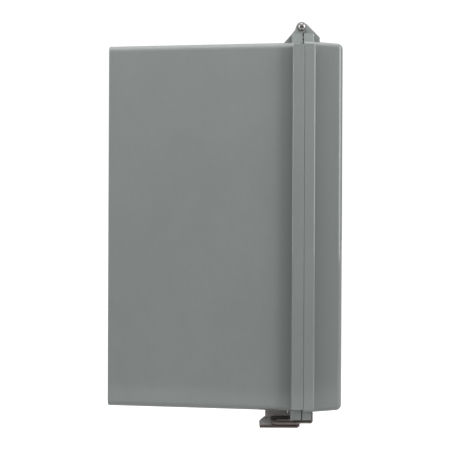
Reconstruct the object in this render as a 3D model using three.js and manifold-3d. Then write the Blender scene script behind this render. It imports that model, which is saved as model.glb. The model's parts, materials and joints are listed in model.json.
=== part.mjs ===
// Automatic transfer switch in an outdoor wall enclosure, in millimetres.
// +Z is up, the cover faces -Y, and the origin is the centre of the enclosure's back face.
// A top-hinged cover closes the enclosure, and a slotted hasp at the bottom takes a padlock. Inside, on a
// steel panel, a two-pole rotor swings between utility and generator contacts, moved by two solenoids.
import * as THREE from "three";
import { mergeVertices } from "three/addons/utils/BufferGeometryUtils.js";
import Module from "manifold-3d";

const wasm = await Module();
wasm.setup();

// ---- driving dimensions ---------------------------------------------------------------------------
const GAP = 0.3; // clearance between pieces that rest on each other
const BODY = { width: 416, height: 477, depth: 250, wall: 5, back: 5, edge: 9, draft: 0.0214 };
const COVER = { gap: 1.6, depth: 50.6, grow: 1.5, corner: 7.2, edge: 7, draft: 0.064 };
const FLANGE = { out: 11.6, body: 13.8, cover: 13.8, notch: 6.1, lip: 3, lipInset: 0.6 };
const HINGE = { rise: 19.5, behind: 2, knuckle: 7, pin: 3, head: 5.5, dome: 4.4, ear: 7.5, setBack: 3.5 };
const COVER_EAR_TOP = [-6.7, 6.8]; // the cover ear's upper front corner, from the pin
const HASP = {
  below: 2.1, // from the flange's lower edge down to the strap
  strap: 2.1,
  dip: 1.5,
  bracket: 2.5,
  width: 51.5,
  neck: [6.4, 31],
  slot: 13,
  slotInset: 13.5,
  slotFrom: 11,
  slotTo: 32.5,
};
const PANEL = { width: 350, height: 400, sheet: 2.5, boss: 8, bossRadius: 9, bossX: 160, bossZ: 188 };
const WALL_HOLE = { x: 150, z: 212, radius: 4 };
const ROTOR = { y: -80, z: -35, swing: 20, shaft: 6, pole: 45, arm: 52, crank: 30 };
const BASE = { x: 92, sheet: 14, top: 76, bottom: -190, barrier: 4 };
const CONTACT = { bar: 4, width: 22, pad: 7, padHeight: 3 };
const LUG = { width: 34, height: 32, depth: 28, wire: 9 };
const STROKE = 2 * ROTOR.crank * Math.sin(THREE.MathUtils.degToRad(ROTOR.swing));

const RIM = -BODY.depth; // front face of the body's flange
const COVER_RIM = RIM - COVER.gap; // back face of the cover's flange
const HALF_W = BODY.width / 2;
const HALF_H = BODY.height / 2;
const SEAM = RIM - COVER.gap / 2; // middle of the gap between the two flanges
const PIN_Y = SEAM + HINGE.behind;
const PIN_Z = HALF_H + HINGE.rise;
const PANEL_FRONT = -(BODY.back + PANEL.boss + GAP + PANEL.sheet);
const MOUNT = PANEL_FRONT - GAP; // back plane of everything that is fixed to the panel
const CROSSBAR = 15; // radius of the moulded crossbar on the rotor shaft
const CURVE = 10; // segments in a rounded corner or a small circle

// ---- solids ---------------------------------------------------------------------------------------
function solid(geometry) {
  const bare = geometry.index ? geometry.toNonIndexed() : geometry.clone();
  bare.deleteAttribute("normal");
  bare.deleteAttribute("uv");
  const merged = mergeVertices(bare, 1e-4);
  return new wasm.Manifold(
    new wasm.Mesh({
      numProp: 3,
      vertProperties: merged.attributes.position.array,
      triVerts: new Uint32Array(merged.index.array),
    }),
  );
}

function geometryOf(shape) {
  const mesh = shape.getMesh();
  const geometry = new THREE.BufferGeometry();
  geometry.setAttribute("position", new THREE.BufferAttribute(mesh.vertProperties, 3));
  geometry.setIndex(new THREE.BufferAttribute(mesh.triVerts, 1));
  geometry.computeVertexNormals();
  return geometry;
}

function join(first, ...others) {
  return others.reduce((whole, piece) => whole.add(piece), first);
}

function cut(first, ...others) {
  return others.reduce((whole, piece) => whole.subtract(piece), first);
}

// A block between two values on each axis.
function block([x0, x1], [y0, y1], [z0, z1]) {
  const geometry = new THREE.BoxGeometry(Math.abs(x1 - x0), Math.abs(y1 - y0), Math.abs(z1 - z0));
  return solid(geometry.translate((x0 + x1) / 2, (y0 + y1) / 2, (z0 + z1) / 2));
}

function rod(radius, length, segments = 20) {
  return new THREE.CylinderGeometry(radius, radius, length, segments);
}

function rodX(radius, x0, x1, y, z, segments) {
  const geometry = rod(radius, Math.abs(x1 - x0), segments).rotateZ(Math.PI / 2);
  return solid(geometry.translate((x0 + x1) / 2, y, z));
}

function rodY(radius, y0, y1, x, z, segments) {
  return solid(rod(radius, Math.abs(y1 - y0), segments).translate(x, (y0 + y1) / 2, z));
}

function rodZ(radius, z0, z1, x, y, segments) {
  const geometry = rod(radius, Math.abs(z1 - z0), segments).rotateX(Math.PI / 2);
  return solid(geometry.translate(x, y, (z0 + z1) / 2));
}

function outline(points) {
  return new THREE.Shape(points.map(([u, v]) => new THREE.Vector2(u, v)));
}

// Prisms of an outline: prismX takes it in (y, z), prismY in (x, z) and prismZ in (x, y).
function prism(shape, length, basis, offset) {
  const geometry = new THREE.ExtrudeGeometry(shape, {
    depth: length,
    bevelEnabled: false,
    curveSegments: CURVE,
  });
  return solid(geometry.applyMatrix4(basis.setPosition(...offset)));
}

function prismX(shape, x0, x1) {
  const axes = [new THREE.Vector3(0, 1, 0), new THREE.Vector3(0, 0, 1), new THREE.Vector3(1, 0, 0)];
  return prism(shape, x1 - x0, new THREE.Matrix4().makeBasis(...axes), [x0, 0, 0]);
}

function prismY(shape, y0, y1) {
  const axes = [new THREE.Vector3(1, 0, 0), new THREE.Vector3(0, 0, 1), new THREE.Vector3(0, -1, 0)];
  return prism(shape, y1 - y0, new THREE.Matrix4().makeBasis(...axes), [0, y1, 0]);
}

function prismZ(shape, z0, z1) {
  return prism(shape, z1 - z0, new THREE.Matrix4(), [0, 0, z0]);
}

// The outline of a bent strip: a line of points with an even thickness and mitred bends.
function strip(points, thickness) {
  const line = points.map(([u, v]) => new THREE.Vector2(u, v));
  const side = (sign) =>
    line.map((point, i) => {
      const before = point.clone().sub(line[Math.max(i - 1, 0)]);
      const after = line[Math.min(i + 1, line.length - 1)].clone().sub(point);
      const first = (i ? before : after).normalize();
      const second = (i < line.length - 1 ? after : before).normalize();
      const normal = new THREE.Vector2(-first.y - second.y, first.x + second.x).normalize();
      const mitre = Math.max(0.5, normal.dot(new THREE.Vector2(-first.y, first.x)));
      return point.clone().addScaledVector(normal, (sign * thickness) / 2 / mitre);
    });
  return new THREE.Shape([...side(-1), ...side(1).reverse()]);
}

function roundedRectangle(halfW, halfH, radius) {
  const shape = new THREE.Shape();
  shape.absarc(halfW - radius, halfH - radius, radius, 0, Math.PI / 2);
  shape.absarc(radius - halfW, halfH - radius, radius, Math.PI / 2, Math.PI);
  shape.absarc(radius - halfW, radius - halfH, radius, Math.PI, 1.5 * Math.PI);
  shape.absarc(halfW - radius, radius - halfH, radius, 1.5 * Math.PI, 2 * Math.PI);
  shape.closePath();
  return shape;
}

// A block with rounded long edges that narrows by the draft from the rim plane to its far end, whose
// edges are rounded to endRadius. It starts `over` beyond the rim, so that a cavity cuts cleanly.
function draftedBlock({ halfW, halfH, radius, rim, end, draft, endRadius, over = 0 }) {
  const away = Math.sign(end - rim);
  const length = Math.abs(end - rim);
  const bevel = Math.max(endRadius, 0.01);
  const geometry = new THREE.ExtrudeGeometry(roundedRectangle(halfW, halfH, radius), {
    depth: length + over,
    bevelThickness: bevel,
    bevelSize: bevel,
    bevelOffset: -bevel,
    bevelSegments: endRadius ? 5 : 1,
    curveSegments: 5,
  });
  geometry.translate(0, 0, -over - bevel).rotateX(away < 0 ? Math.PI / 2 : -Math.PI / 2);
  geometry.translate(0, rim, 0);
  const position = geometry.attributes.position;
  for (let i = 0; i < position.count; i++) {
    const inset = draft * Math.abs(position.getY(i) - rim) * Math.sign((position.getY(i) - rim) * away);
    position.setX(i, position.getX(i) - Math.sign(position.getX(i)) * inset);
    position.setZ(i, position.getZ(i) - Math.sign(position.getZ(i)) * inset);
  }
  return solid(geometry).trimByPlane([0, away, 0], away * rim - over);
}

// ---- scene graph ----------------------------------------------------------------------------------
const assembly = new THREE.Group();
assembly.name = "automatic_transfer_switch";

function paint(color, roughness, metalness = 0) {
  return new THREE.MeshStandardMaterial({ color, roughness, metalness });
}

const shellGrey = paint(0x868b88, 0.42);
const rubber = paint(0x1d1e1f, 0.85);
const stainless = paint(0x9a9690, 0.3, 1);
const zinc = paint(0xb9bbb6, 0.4, 1);
const panelWhite = paint(0xd9dbd8, 0.5);
const moulding = paint(0x2b2a2c, 0.55);
const copper = paint(0xb5653f, 0.3, 1);
const aluminium = paint(0xc3c6c8, 0.35, 1);
const steel = paint(0x8f9295, 0.35, 1);
const red = paint(0xa5201c, 0.4);
const board = paint(0x1e5a38, 0.5);
const plasticGrey = paint(0x5c6164, 0.5);
const plasticLight = paint(0xc9cbc7, 0.45);
const wireBlack = paint(0x17181a, 0.6);

function add(name, shape, material, parent = assembly) {
  const mesh = new THREE.Mesh(geometryOf(shape), material);
  mesh.name = name;
  parent.add(mesh);
}

// Adds a piece on the right and its mirror image on the left.
function addPair(name, shape, material, parent) {
  add(`${name}_right`, shape, material, parent);
  add(`${name}_left`, shape.mirror([1, 0, 0]), material, parent);
}

// ---- enclosure ------------------------------------------------------------------------------------
// The flange outline: tall and wide rectangles crossed, so that each corner is notched.
function flange(y0, y1) {
  const side = HALF_H - FLANGE.notch;
  const end = HALF_W - FLANGE.notch;
  return join(
    block([-HALF_W - FLANGE.out, HALF_W + FLANGE.out], [y0, y1], [-side, side]),
    block([-end, end], [y0, y1], [-HALF_H - FLANGE.out, HALF_H + FLANGE.out]),
  );
}

// A hinge ear's rib, seen along X in (y, z): from the shell's top wall up its face, then down through the
// points, which are measured from the pin.
function earOutline(face, points) {
  const floor = HALF_H - BODY.wall / 2;
  const slope = points.map(([y, z]) => [PIN_Y + y, PIN_Z + z]);
  return outline([[face, floor], [face, PIN_Z], ...slope, [slope.at(-1)[0], floor]]);
}

function hingeParts() {
  const outer = HALF_W - FLANGE.notch;
  const { ear, knuckle, pin, setBack } = HINGE;
  const bore = rodX(pin + GAP, outer - 60, outer + 20, PIN_Y, PIN_Z);
  const relief = (radius, x0, x1) => rodX(radius, x0 - GAP, x1 + GAP, PIN_Y, PIN_Z, 28);
  const bodySlope = earOutline(RIM, [[4.2, 1.3], [22.5, -HINGE.rise]]);
  const coverSlope = earOutline(COVER_RIM, [[0, 0], [0, knuckle], COVER_EAR_TOP, [-24.4, -11.2]]);
  const knuckleAt = (x0, x1) => rodX(knuckle, x0, x1, PIN_Y, PIN_Z, 28);
  const first = [outer - ear, outer];
  const second = [first[0] - GAP - ear, first[0] - GAP];
  const third = [second[0] - GAP - ear, second[0] - GAP];
  const plate = prismX(bodySlope, outer - setBack - 0.1, outer); // flush with the end of the flange
  const body = join(
    prismX(bodySlope, first[0], outer - setBack),
    plate.trimByPlane([0, -1, 0], -RIM - FLANGE.body),
    knuckleAt(...first),
    prismX(bodySlope, ...third),
    knuckleAt(...third),
  );
  const cover = join(prismX(coverSlope, ...second), knuckleAt(...second));
  return {
    body: cut(body, bore),
    cover: cut(cover, bore),
    bodyRelief: relief(Math.hypot(...COVER_EAR_TOP) + 0.6, ...second),
    coverRelief: join(relief(knuckle + 0.6, first[0], outer + 1), relief(knuckle + 0.6, ...third)),
    pinEnds: [third[0] - 5, outer + GAP],
  };
}

const hinge = hingeParts();

function bothSides(shape) {
  return join(shape, shape.mirror([1, 0, 0]));
}

function bodyShell() {
  const size = { halfW: HALF_W, halfH: HALF_H, radius: BODY.edge, rim: RIM, end: 0, draft: BODY.draft };
  const inner = {
    halfW: HALF_W - BODY.wall,
    halfH: HALF_H - BODY.wall,
    radius: BODY.edge - BODY.wall,
    end: -BODY.back,
    endRadius: 3,
    over: 5,
  };
  const cavity = draftedBlock({ ...size, ...inner });
  const lipOutside = HALF_W + FLANGE.out - FLANGE.lipInset;
  const lip = block(
    [lipOutside - FLANGE.lip, lipOutside],
    [RIM - COVER.gap + 0.4, RIM + 1],
    [-HALF_H + FLANGE.notch + 1, HALF_H - FLANGE.notch - 1],
  );
  let shell = join(draftedBlock({ ...size, endRadius: 0 }), flange(RIM, RIM + FLANGE.body), bothSides(lip));
  shell = cut(join(cut(shell, bothSides(hinge.bodyRelief)), bothSides(hinge.body)), cavity);
  for (const sx of [-1, 1]) {
    for (const sz of [-1, 1]) {
      const [x, z] = [sx * PANEL.bossX, sz * PANEL.bossZ];
      shell = join(shell, rodY(PANEL.bossRadius, -BODY.back - PANEL.boss, -BODY.back + 1, x, z));
      shell = cut(shell, rodY(3, -BODY.back - PANEL.boss - 1, -BODY.back, x, z));
      shell = cut(shell, rodY(WALL_HOLE.radius, -BODY.back - 1, 1, sx * WALL_HOLE.x, sz * WALL_HOLE.z));
    }
  }
  return cut(shell, ...haspScrewPlaces().map(([x, y]) => rodZ(3, -HALF_H - 1, -HALF_H + 9, x, y)));
}

function coverShell() {
  const front = COVER_RIM - COVER.depth;
  const { grow, corner, draft, edge } = COVER;
  const size = { halfW: HALF_W + grow, halfH: HALF_H + grow, radius: corner, rim: COVER_RIM, draft };
  const inner = {
    halfW: size.halfW - BODY.wall,
    halfH: size.halfH - BODY.wall,
    radius: corner - BODY.wall,
    end: front + BODY.wall,
    endRadius: 2,
    over: 5,
  };
  const dome = draftedBlock({ ...size, end: front, endRadius: edge });
  const rim = cut(flange(COVER_RIM - FLANGE.cover, COVER_RIM), bothSides(hinge.coverRelief));
  const shell = cut(join(dome, rim, bothSides(hinge.cover)), draftedBlock({ ...size, ...inner }));
  return cut(shell, bothSides(hinge.coverRelief), strapRecess(), ...strapRivetPlaces().map(strapRivetHole));
}

function gasket() {
  const ring = (inset, radius, over) =>
    prismY(roundedRectangle(HALF_W - inset, HALF_H - inset, radius), COVER_RIM + GAP - over, RIM - GAP + over);
  return cut(ring(0.8, BODY.edge - 0.8, 0), ring(BODY.wall - 0.5, BODY.edge - BODY.wall + 0.5, 1));
}

// The pin lies along X with a domed head outside the outer ear, and its inner end is spread into a collar.
function hingePin() {
  const [inner, outer] = hinge.pinEnds;
  const profile = Array.from({ length: 9 }, (_, i) => {
    const angle = (i / 8) * (Math.PI / 2);
    return new THREE.Vector2(HINGE.head * Math.cos(angle), 0.8 + HINGE.dome * Math.sin(angle));
  });
  const base = [new THREE.Vector2(0, 0), new THREE.Vector2(HINGE.head, 0)];
  const head = new THREE.LatheGeometry([...base, ...profile], 24);
  head.rotateZ(-Math.PI / 2).translate(outer, PIN_Y, PIN_Z);
  const collar = rodX(HINGE.pin + 1.6, inner, inner + 2.5, PIN_Y, PIN_Z);
  return join(rodX(HINGE.pin, inner, outer + 1, PIN_Y, PIN_Z), collar, solid(head));
}

// ---- hasp -----------------------------------------------------------------------------------------
// Two level plates under the left end of the bottom flange, with one slot through both for a padlock.
// The cover's strap is the upper one. It dips as the cover starts to swing, so it stops short of the
// bracket's far end and keeps a gap above it.
const HASP_NEAR = -HALF_W;
const STRAP_TOP = -HALF_H - FLANGE.out - HASP.below;
const BRACKET_TOP = STRAP_TOP - HASP.strap - HASP.dip;
const BRACKET_FAR = HASP_NEAR + HASP.width;
const STRAP_FACE = COVER_RIM - FLANGE.cover;
const STRAP_UPPER_END = -HALF_H - 2;
const RIVET = { shank: 2, headRadius: 4, head: 1 };

// A point of a hasp plate: `across` from the enclosure's left side and `behind` the seam.
function haspPoint([across, behind]) {
  return [HASP_NEAR + across, SEAM + behind];
}

function haspSlot() {
  const half = HASP.slot / 2;
  const [x] = haspPoint([HASP.slotInset, 0]);
  const shape = new THREE.Shape();
  shape.absarc(x, SEAM + HASP.slotTo - half, half, 0, Math.PI);
  shape.absarc(x, SEAM + HASP.slotFrom + half, half, Math.PI, 2 * Math.PI);
  shape.closePath();
  return prismZ(shape, BRACKET_TOP - 10, STRAP_TOP + 5);
}

function haspScrewPlaces() {
  const x = BRACKET_FAR + 20;
  return [
    [x, RIM + 21],
    [x, RIM + 37],
  ];
}

function bodyHaspBracket() {
  const top = -HALF_H - GAP;
  const depth = [RIM + FLANGE.body + GAP, SEAM + 45];
  const shape = outline(
    [
      [0, 6.2],
      [0, 54.5],
      [27.5, 54],
      [HASP.width, 46],
      [HASP.width, 2.3],
      [6.4, 2.3],
    ].map(haspPoint),
  );
  const plate = prismZ(shape, BRACKET_TOP - HASP.bracket, BRACKET_TOP);
  const sheet = [BRACKET_FAR - HASP.bracket, BRACKET_FAR];
  const web = block(sheet, depth, [BRACKET_TOP - 1, top]);
  const underFlange = [BRACKET_TOP - 1, -HALF_H - FLANGE.out - GAP];
  const lowerWeb = block(sheet, [SEAM + 3, depth[1]], underFlange);
  const foot = block([BRACKET_FAR - HASP.bracket, BRACKET_FAR + 34], depth, [top - HASP.bracket, top]);
  const holes = haspScrewPlaces().map(([x, y]) => rodZ(3, top - 6, top + 3, x, y));
  return cut(join(plate, web, lowerWeb, foot), haspSlot(), ...holes);
}

function haspScrew([x, y]) {
  const head = -HALF_H - 2 * GAP - HASP.bracket;
  const shank = rodZ(2.6, head - 1, -HALF_H + BODY.wall + 6, x, y);
  return join(shank, rodZ(5, head - 3.2, head, x, y, 24));
}

function strapRivetPlaces() {
  const [x] = haspPoint([(HASP.neck[0] + HASP.neck[1]) / 2, 0]);
  return [
    [x - 6, -HALF_H - 6.5],
    [x + 6, -HALF_H - 6.5],
  ];
}

function strapRivetHole([x, z]) {
  const forHead = rodY(RIVET.headRadius + GAP, STRAP_FACE - 1, STRAP_FACE + RIVET.head + GAP, x, z, 24);
  return join(rodY(RIVET.shank + GAP, STRAP_FACE - 1, COVER_RIM + 1, x, z), forHead);
}

// The strap's upright end lies in this recess, flush with the front of the cover's flange.
function strapRecess() {
  return block(
    [FLANGE.notch - HALF_W - 1, HASP_NEAR + HASP.neck[1] + GAP],
    [STRAP_FACE - 1, STRAP_FACE + HASP.strap + GAP],
    [-HALF_H - FLANGE.out - 1, STRAP_UPPER_END + GAP],
  );
}

function coverHaspStrap() {
  const [near, far] = HASP.neck;
  const shape = outline(
    [
      [0.8, 6.2],
      [0.8, 34.5],
      [5, 38.5],
      [35, 38.5],
      [40, 33.5],
      [40, 13],
      [far, 3],
      [near, 1],
    ].map(haspPoint),
  );
  const plate = prismZ(shape, STRAP_TOP - HASP.strap, STRAP_TOP);
  const middle = STRAP_TOP - HASP.strap / 2;
  const front = STRAP_FACE + HASP.strap / 2;
  const hook = strip(
    [
      [SEAM + 3.5, middle],
      [front + 2.6, middle],
      [front + 0.7, middle + 0.7],
      [front, middle + 2.4],
      [front, STRAP_UPPER_END],
    ],
    HASP.strap,
  );
  const holes = strapRivetPlaces().map(strapRivetHole);
  return cut(join(plate, prismX(hook, HASP_NEAR + near, HASP_NEAR + far)), haspSlot(), ...holes);
}

function strapRivet([x, z]) {
  const shank = rodY(RIVET.shank, STRAP_FACE + RIVET.head / 2, COVER_RIM - 0.4, x, z);
  return join(shank, rodY(RIVET.headRadius, STRAP_FACE, STRAP_FACE + RIVET.head, x, z, 24));
}

// ---- panel ----------------------------------------------------------------------------------------
function panelPlate() {
  let plate = block(
    [-PANEL.width / 2, PANEL.width / 2],
    [PANEL_FRONT, PANEL_FRONT + PANEL.sheet],
    [-PANEL.height / 2, PANEL.height / 2],
  );
  for (const sx of [-1, 1]) {
    for (const sz of [-1, 1]) {
      plate = cut(plate, rodY(3.2, PANEL_FRONT - 1, 0, sx * PANEL.bossX, sz * PANEL.bossZ));
    }
  }
  return plate;
}

function panelScrew(x, z) {
  const shank = rodY(2.6, MOUNT - 1, -BODY.back - 2, x, z);
  const head = rodY(6, MOUNT - 3.5, MOUNT, x, z, 24);
  const socket = rodY(2.4, MOUNT - 4, MOUNT - 1.6, x, z, 6);
  return cut(join(shank, head), socket);
}

// ---- transfer switch ------------------------------------------------------------------------------
function switchBase() {
  const face = MOUNT - BASE.sheet;
  const plate = block([-BASE.x, BASE.x], [face, MOUNT], [BASE.bottom, BASE.top]);
  const half = BASE.barrier / 2;
  const barriers = [-BASE.x + half, 0, BASE.x - half].map((x) =>
    block([x - half, x + half], [face - 128, face + 1], [ROTOR.z - 52, ROTOR.z + 52]),
  );
  const low = ROTOR.z - 60;
  const fins = [-BASE.x + half, 0, BASE.x - half].flatMap((x) =>
    [
      [low - 90, low],
      [ROTOR.z + 60, BASE.top - 2],
    ].map((span) => block([x - half, x + half], [face - 38, face + 1], span)),
  );
  const passages = join(
    rodX(ROTOR.shaft + GAP, -100, 100, ROTOR.y, ROTOR.z, 24),
    rodX(CROSSBAR + 1.5, -10, 10, ROTOR.y, ROTOR.z, 28),
  );
  return cut(join(plate, ...barriers, ...fins), passages);
}

// Steel plates outside the base carry the solenoids and the position switch.
function sidePlate() {
  const inner = BASE.x + GAP;
  const [back, front] = [MOUNT, -140];
  const shape = outline([
    [back, ROTOR.z - 95],
    [front + 14, ROTOR.z - 95],
    [front, ROTOR.z - 80],
    [front, ROTOR.z + 80],
    [front + 14, ROTOR.z + 95],
    [back, ROTOR.z + 95],
  ]);
  const foot = block([inner, inner + 14], [back - 3, back], [ROTOR.z - 95, ROTOR.z + 95]);
  const hole = rodX(ROTOR.shaft + GAP, inner - 5, inner + 10, ROTOR.y, ROTOR.z, 24);
  return cut(join(prismX(shape, inner, inner + 3), foot), hole);
}

const TURN = THREE.MathUtils.degToRad(ROTOR.swing);

// Turns a point in the rotor's own frame, with the arm along -Y, to the part's frame with the arm up.
function swung(y, z) {
  return [
    ROTOR.y + y * Math.cos(TURN) + z * Math.sin(TURN),
    ROTOR.z - y * Math.sin(TURN) + z * Math.cos(TURN),
  ];
}

// A copper bar from the fixed contact, up and back to the terminal on the base.
function fixedContact(pole) {
  const armTop = CONTACT.bar / 2 + 0.5 + CONTACT.padHeight + GAP;
  const level = armTop + CONTACT.padHeight + CONTACT.bar / 2;
  const terminal = MOUNT - BASE.sheet - GAP - CONTACT.bar / 2;
  const crest = ROTOR.z + 72;
  const tip = swung(-ROTOR.arm - 9, level);
  const bar = strip(
    [swung(-ROTOR.arm + 8, level), tip, [tip[0], crest], [terminal, crest], [terminal, BASE.top - 2]],
    CONTACT.bar,
  );
  const pad = rod(CONTACT.pad, CONTACT.padHeight + 1, 16).rotateX(Math.PI / 2 - TURN);
  const [padY, padZ] = swung(-ROTOR.arm, armTop + (CONTACT.padHeight + 1) / 2);
  const half = CONTACT.width / 2;
  return join(prismX(bar, pole - half, pole + half), solid(pad.translate(pole, padY, padZ)));
}

// Mirrors a piece of the generator side, above the shaft, to the utility side below it.
function utilitySide(shape) {
  return shape.mirror([0, 0, 1]).translate([0, 0, 2 * ROTOR.z]);
}

// An aluminium lug with its wire hole along Z and a set-screw hole in its front.
function lug(x, z0, pad) {
  const back = MOUNT - BASE.sheet - 2 * GAP - pad;
  const front = back - LUG.depth;
  const middle = (back + front) / 2;
  const body = block([x - LUG.width / 2, x + LUG.width / 2], [front, back], [z0, z0 + LUG.height]);
  return cut(
    body,
    rodZ(LUG.wire, z0 - 1, z0 + LUG.height + 1, x, middle, 24),
    rodY(6, front - 1, middle, x, z0 + LUG.height / 2, 16),
  );
}

function loadBar(x) {
  const front = MOUNT - BASE.sheet - GAP - CONTACT.bar;
  return block([x - 9, x + 9], [front, front + CONTACT.bar], [BASE.bottom + 3, ROTOR.z + 12]);
}

// The flexible connection's collision stand-in: a strap that loops below the reach of the moving arm.
function flexConnection(pole, barX) {
  const front = MOUNT - BASE.sheet - 2 * GAP - CONTACT.bar;
  const path = new THREE.CatmullRomCurve3([
    new THREE.Vector3(barX, front - 3, ROTOR.z - 20),
    new THREE.Vector3(barX, front - 14, ROTOR.z - 44),
    new THREE.Vector3((barX + pole) / 2, front - 40, ROTOR.z - 46),
    new THREE.Vector3(pole, front - 58, ROTOR.z - 36),
  ]);
  const shape = roundedRectangle(4, 2.2, 1);
  return solid(
    new THREE.ExtrudeGeometry(shape, { steps: 10, extrudePath: path, curveSegments: 2 }),
  );
}

// Splitter plates held between two insulating cheeks, in front of the contact tips.
function arcChute(pole) {
  const half = ROTOR.pole - BASE.barrier / 2 - 2.5;
  const [front, back] = [-162, -143.5];
  const [low, high] = [ROTOR.z - 46, ROTOR.z + 46];
  const cheeks = [-1, 1].map((s) =>
    block([pole + s * (half - 3), pole + s * half], [front, back], [low, high]),
  );
  const count = 9;
  const plates = Array.from({ length: count }, (_, i) => {
    const z = low + 4 + (i * (high - low - 8)) / (count - 1);
    return block([pole - half + 1, pole + half - 1], [front + 1, back - 1], [z - 1, z + 1]);
  });
  return join(...cheeks, ...plates);
}

// ---- rotor, in its own frame with the arms along -Y ------------------------------------------------
const rotor = new THREE.Group();
rotor.position.set(0, ROTOR.y, ROTOR.z);
rotor.rotation.x = TURN;
assembly.add(rotor);

function contactArm(pole) {
  const half = CONTACT.bar / 2 + 0.5;
  const bar = block([pole - 9, pole + 9], [-ROTOR.arm - 9, -ROTOR.shaft - 2.5], [-half, half]);
  const pads = rodZ(CONTACT.pad, -half - CONTACT.padHeight, half + CONTACT.padHeight, pole, -ROTOR.arm, 16);
  return join(bar, pads);
}

// One moulded crossbar carries both contact arms.
function rotorCrossbar() {
  const end = ROTOR.pole + 20;
  const half = CONTACT.bar / 2 + 0.5 + GAP;
  let crossbar = rodX(CROSSBAR, -end, end, 0, 0, 28);
  for (const pole of [-ROTOR.pole, ROTOR.pole]) {
    const jaw = block([pole - 14, pole + 14], [-26, 0], [-8, 8]);
    const slot = block([pole - 9 - GAP, pole + 9 + GAP], [-30, -ROTOR.shaft - 2], [-half, half]);
    crossbar = cut(join(crossbar, jaw), slot);
  }
  return cut(crossbar, rodX(ROTOR.shaft + GAP, -end - 1, end + 1, 0, 0, 24));
}

function crankArm() {
  const [x0, x1] = [106, 112];
  const lever = join(
    rodX(11, x0, x1, 0, 0, 24),
    block([x0, x1], [-ROTOR.crank, 0], [-7, 7]),
    rodX(7, x0, x1, -ROTOR.crank, 0, 24),
    rodX(4, x1 - 1, x1 + 17, -ROTOR.crank, 0, 16),
  );
  return cut(lever, rodX(ROTOR.shaft + GAP, x0 - 2, x1 + 2, 0, 0, 24));
}

function positionCam() {
  const [x0, x1] = [-113, -107];
  const lobe = join(rodX(12, x0, x1, 0, 0, 28), rodX(5, x0, x1, 4, 10, 20));
  return cut(lobe, rodX(ROTOR.shaft + GAP, x0 - 2, x1 + 2, 0, 0, 24));
}

function handleLever() {
  const [x0, x1] = [-124, -118];
  const lever = join(
    rodX(12, x0, x1, 0, 0, 28),
    block([x0, x1], [-64, 0], [-7, 7]),
    block([x0, x1], [-86, -63], [-5, 5]),
  );
  return cut(lever, rodX(ROTOR.shaft + GAP, x0 - 2, x1 + 2, 0, 0, 24));
}

function handleGrip() {
  const [x0, x1] = [-124, -118];
  const middle = (x0 + x1) / 2;
  const socket = block([x0 - GAP, x1 + GAP], [-88, -60], [-5 - GAP, 5 + GAP]);
  const profile = [
    [0, 0],
    [8.5, 0],
    [9.5, 4],
    [8.5, 20],
    [10.5, 34],
    [8, 38],
    [0, 38],
  ].map(([r, h]) => new THREE.Vector2(r, h));
  const grip = new THREE.LatheGeometry(profile, 24).rotateX(Math.PI).translate(middle, -66, 0);
  return cut(solid(grip), socket);
}

// ---- solenoids and plunger -------------------------------------------------------------------------
const PLUNGER = { x: 121, y: ROTOR.y - ROTOR.crank + 1, core: 8 };
const COIL = { radius: 18, from: 38, to: 82 }; // measured up from the shaft

function coil() {
  const [z0, z1] = [ROTOR.z + COIL.from, ROTOR.z + COIL.to];
  const { x, y, core } = PLUNGER;
  const flanges = [
    [z0, z0 + 3],
    [z1 - 3, z1],
  ].map((span) => block([x - 19, x + 19], [y - 19, y + 19], span));
  const winding = rodZ(COIL.radius, z0 + 1, z1 - 1, x, y, 32);
  return cut(join(winding, ...flanges), rodZ(core + 0.6, z0 - 1, z1 + 1, x, y, 24));
}

// One bent frame on the right side plate holds both coils.
function solenoidFrame() {
  const inner = BASE.x + 3 + 2 * GAP;
  const { x, y, core } = PLUNGER;
  const reach = COIL.to + GAP + 3;
  const depth = [y - 19, y + 19];
  const web = block([inner, inner + 2.5], depth, [ROTOR.z - reach, ROTOR.z + reach]);
  const shelves = [COIL.from - GAP - 3, COIL.to + GAP].flatMap((from) =>
    [
      [ROTOR.z + from, ROTOR.z + from + 3],
      [ROTOR.z - from - 3, ROTOR.z - from],
    ].map((span) => block([inner, x + 21], depth, span)),
  );
  const window = rodX(14, inner - 1, inner + 4, ROTOR.y, ROTOR.z, 28);
  const bore = rodZ(core + 0.6, ROTOR.z - reach - 1, ROTOR.z + reach + 1, x, y, 24);
  return cut(join(web, ...shelves), window, bore);
}

function plunger() {
  const { x, y, core } = PLUNGER;
  const pin = ROTOR.z - STROKE / 2;
  const yoke = block([x - 6, x + 6], [y - 13, y + 13], [pin - 10, pin + 10]);
  const upper = rodZ(core, pin + 9, ROTOR.z + COIL.to - 5 - STROKE, x, y, 24);
  const lower = rodZ(core, ROTOR.z - COIL.to + 5, pin - 9, x, y, 24);
  const slot = block([x - 7, x + 7], [y - 8, y + 8], [pin - 4.5, pin + 4.5]);
  return cut(join(yoke, upper, lower), slot);
}

function positionSwitch() {
  const [x0, x1] = [-116, -BASE.x - 3 - 2 * GAP];
  const body = block([x0, x1], [ROTOR.y - 16, ROTOR.y + 18], [ROTOR.z + 22, ROTOR.z + 38]);
  const lever = block([-114, -106], [ROTOR.y - 14, ROTOR.y + 14], [ROTOR.z + 16.1, ROTOR.z + 17]);
  const post = block([-114, -106], [ROTOR.y + 11, ROTOR.y + 14], [ROTOR.z + 16.5, ROTOR.z + 23]);
  return join(body, lever, post);
}

// ---- controls --------------------------------------------------------------------------------------
const CONTROL = { x: [-148, 60], z: [98, 192], depth: 34 };
const BUTTONS = [
  { name: "test_button", x: 18, z: 165 },
  { name: "return_button", x: 18, z: 135 },
];

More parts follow.
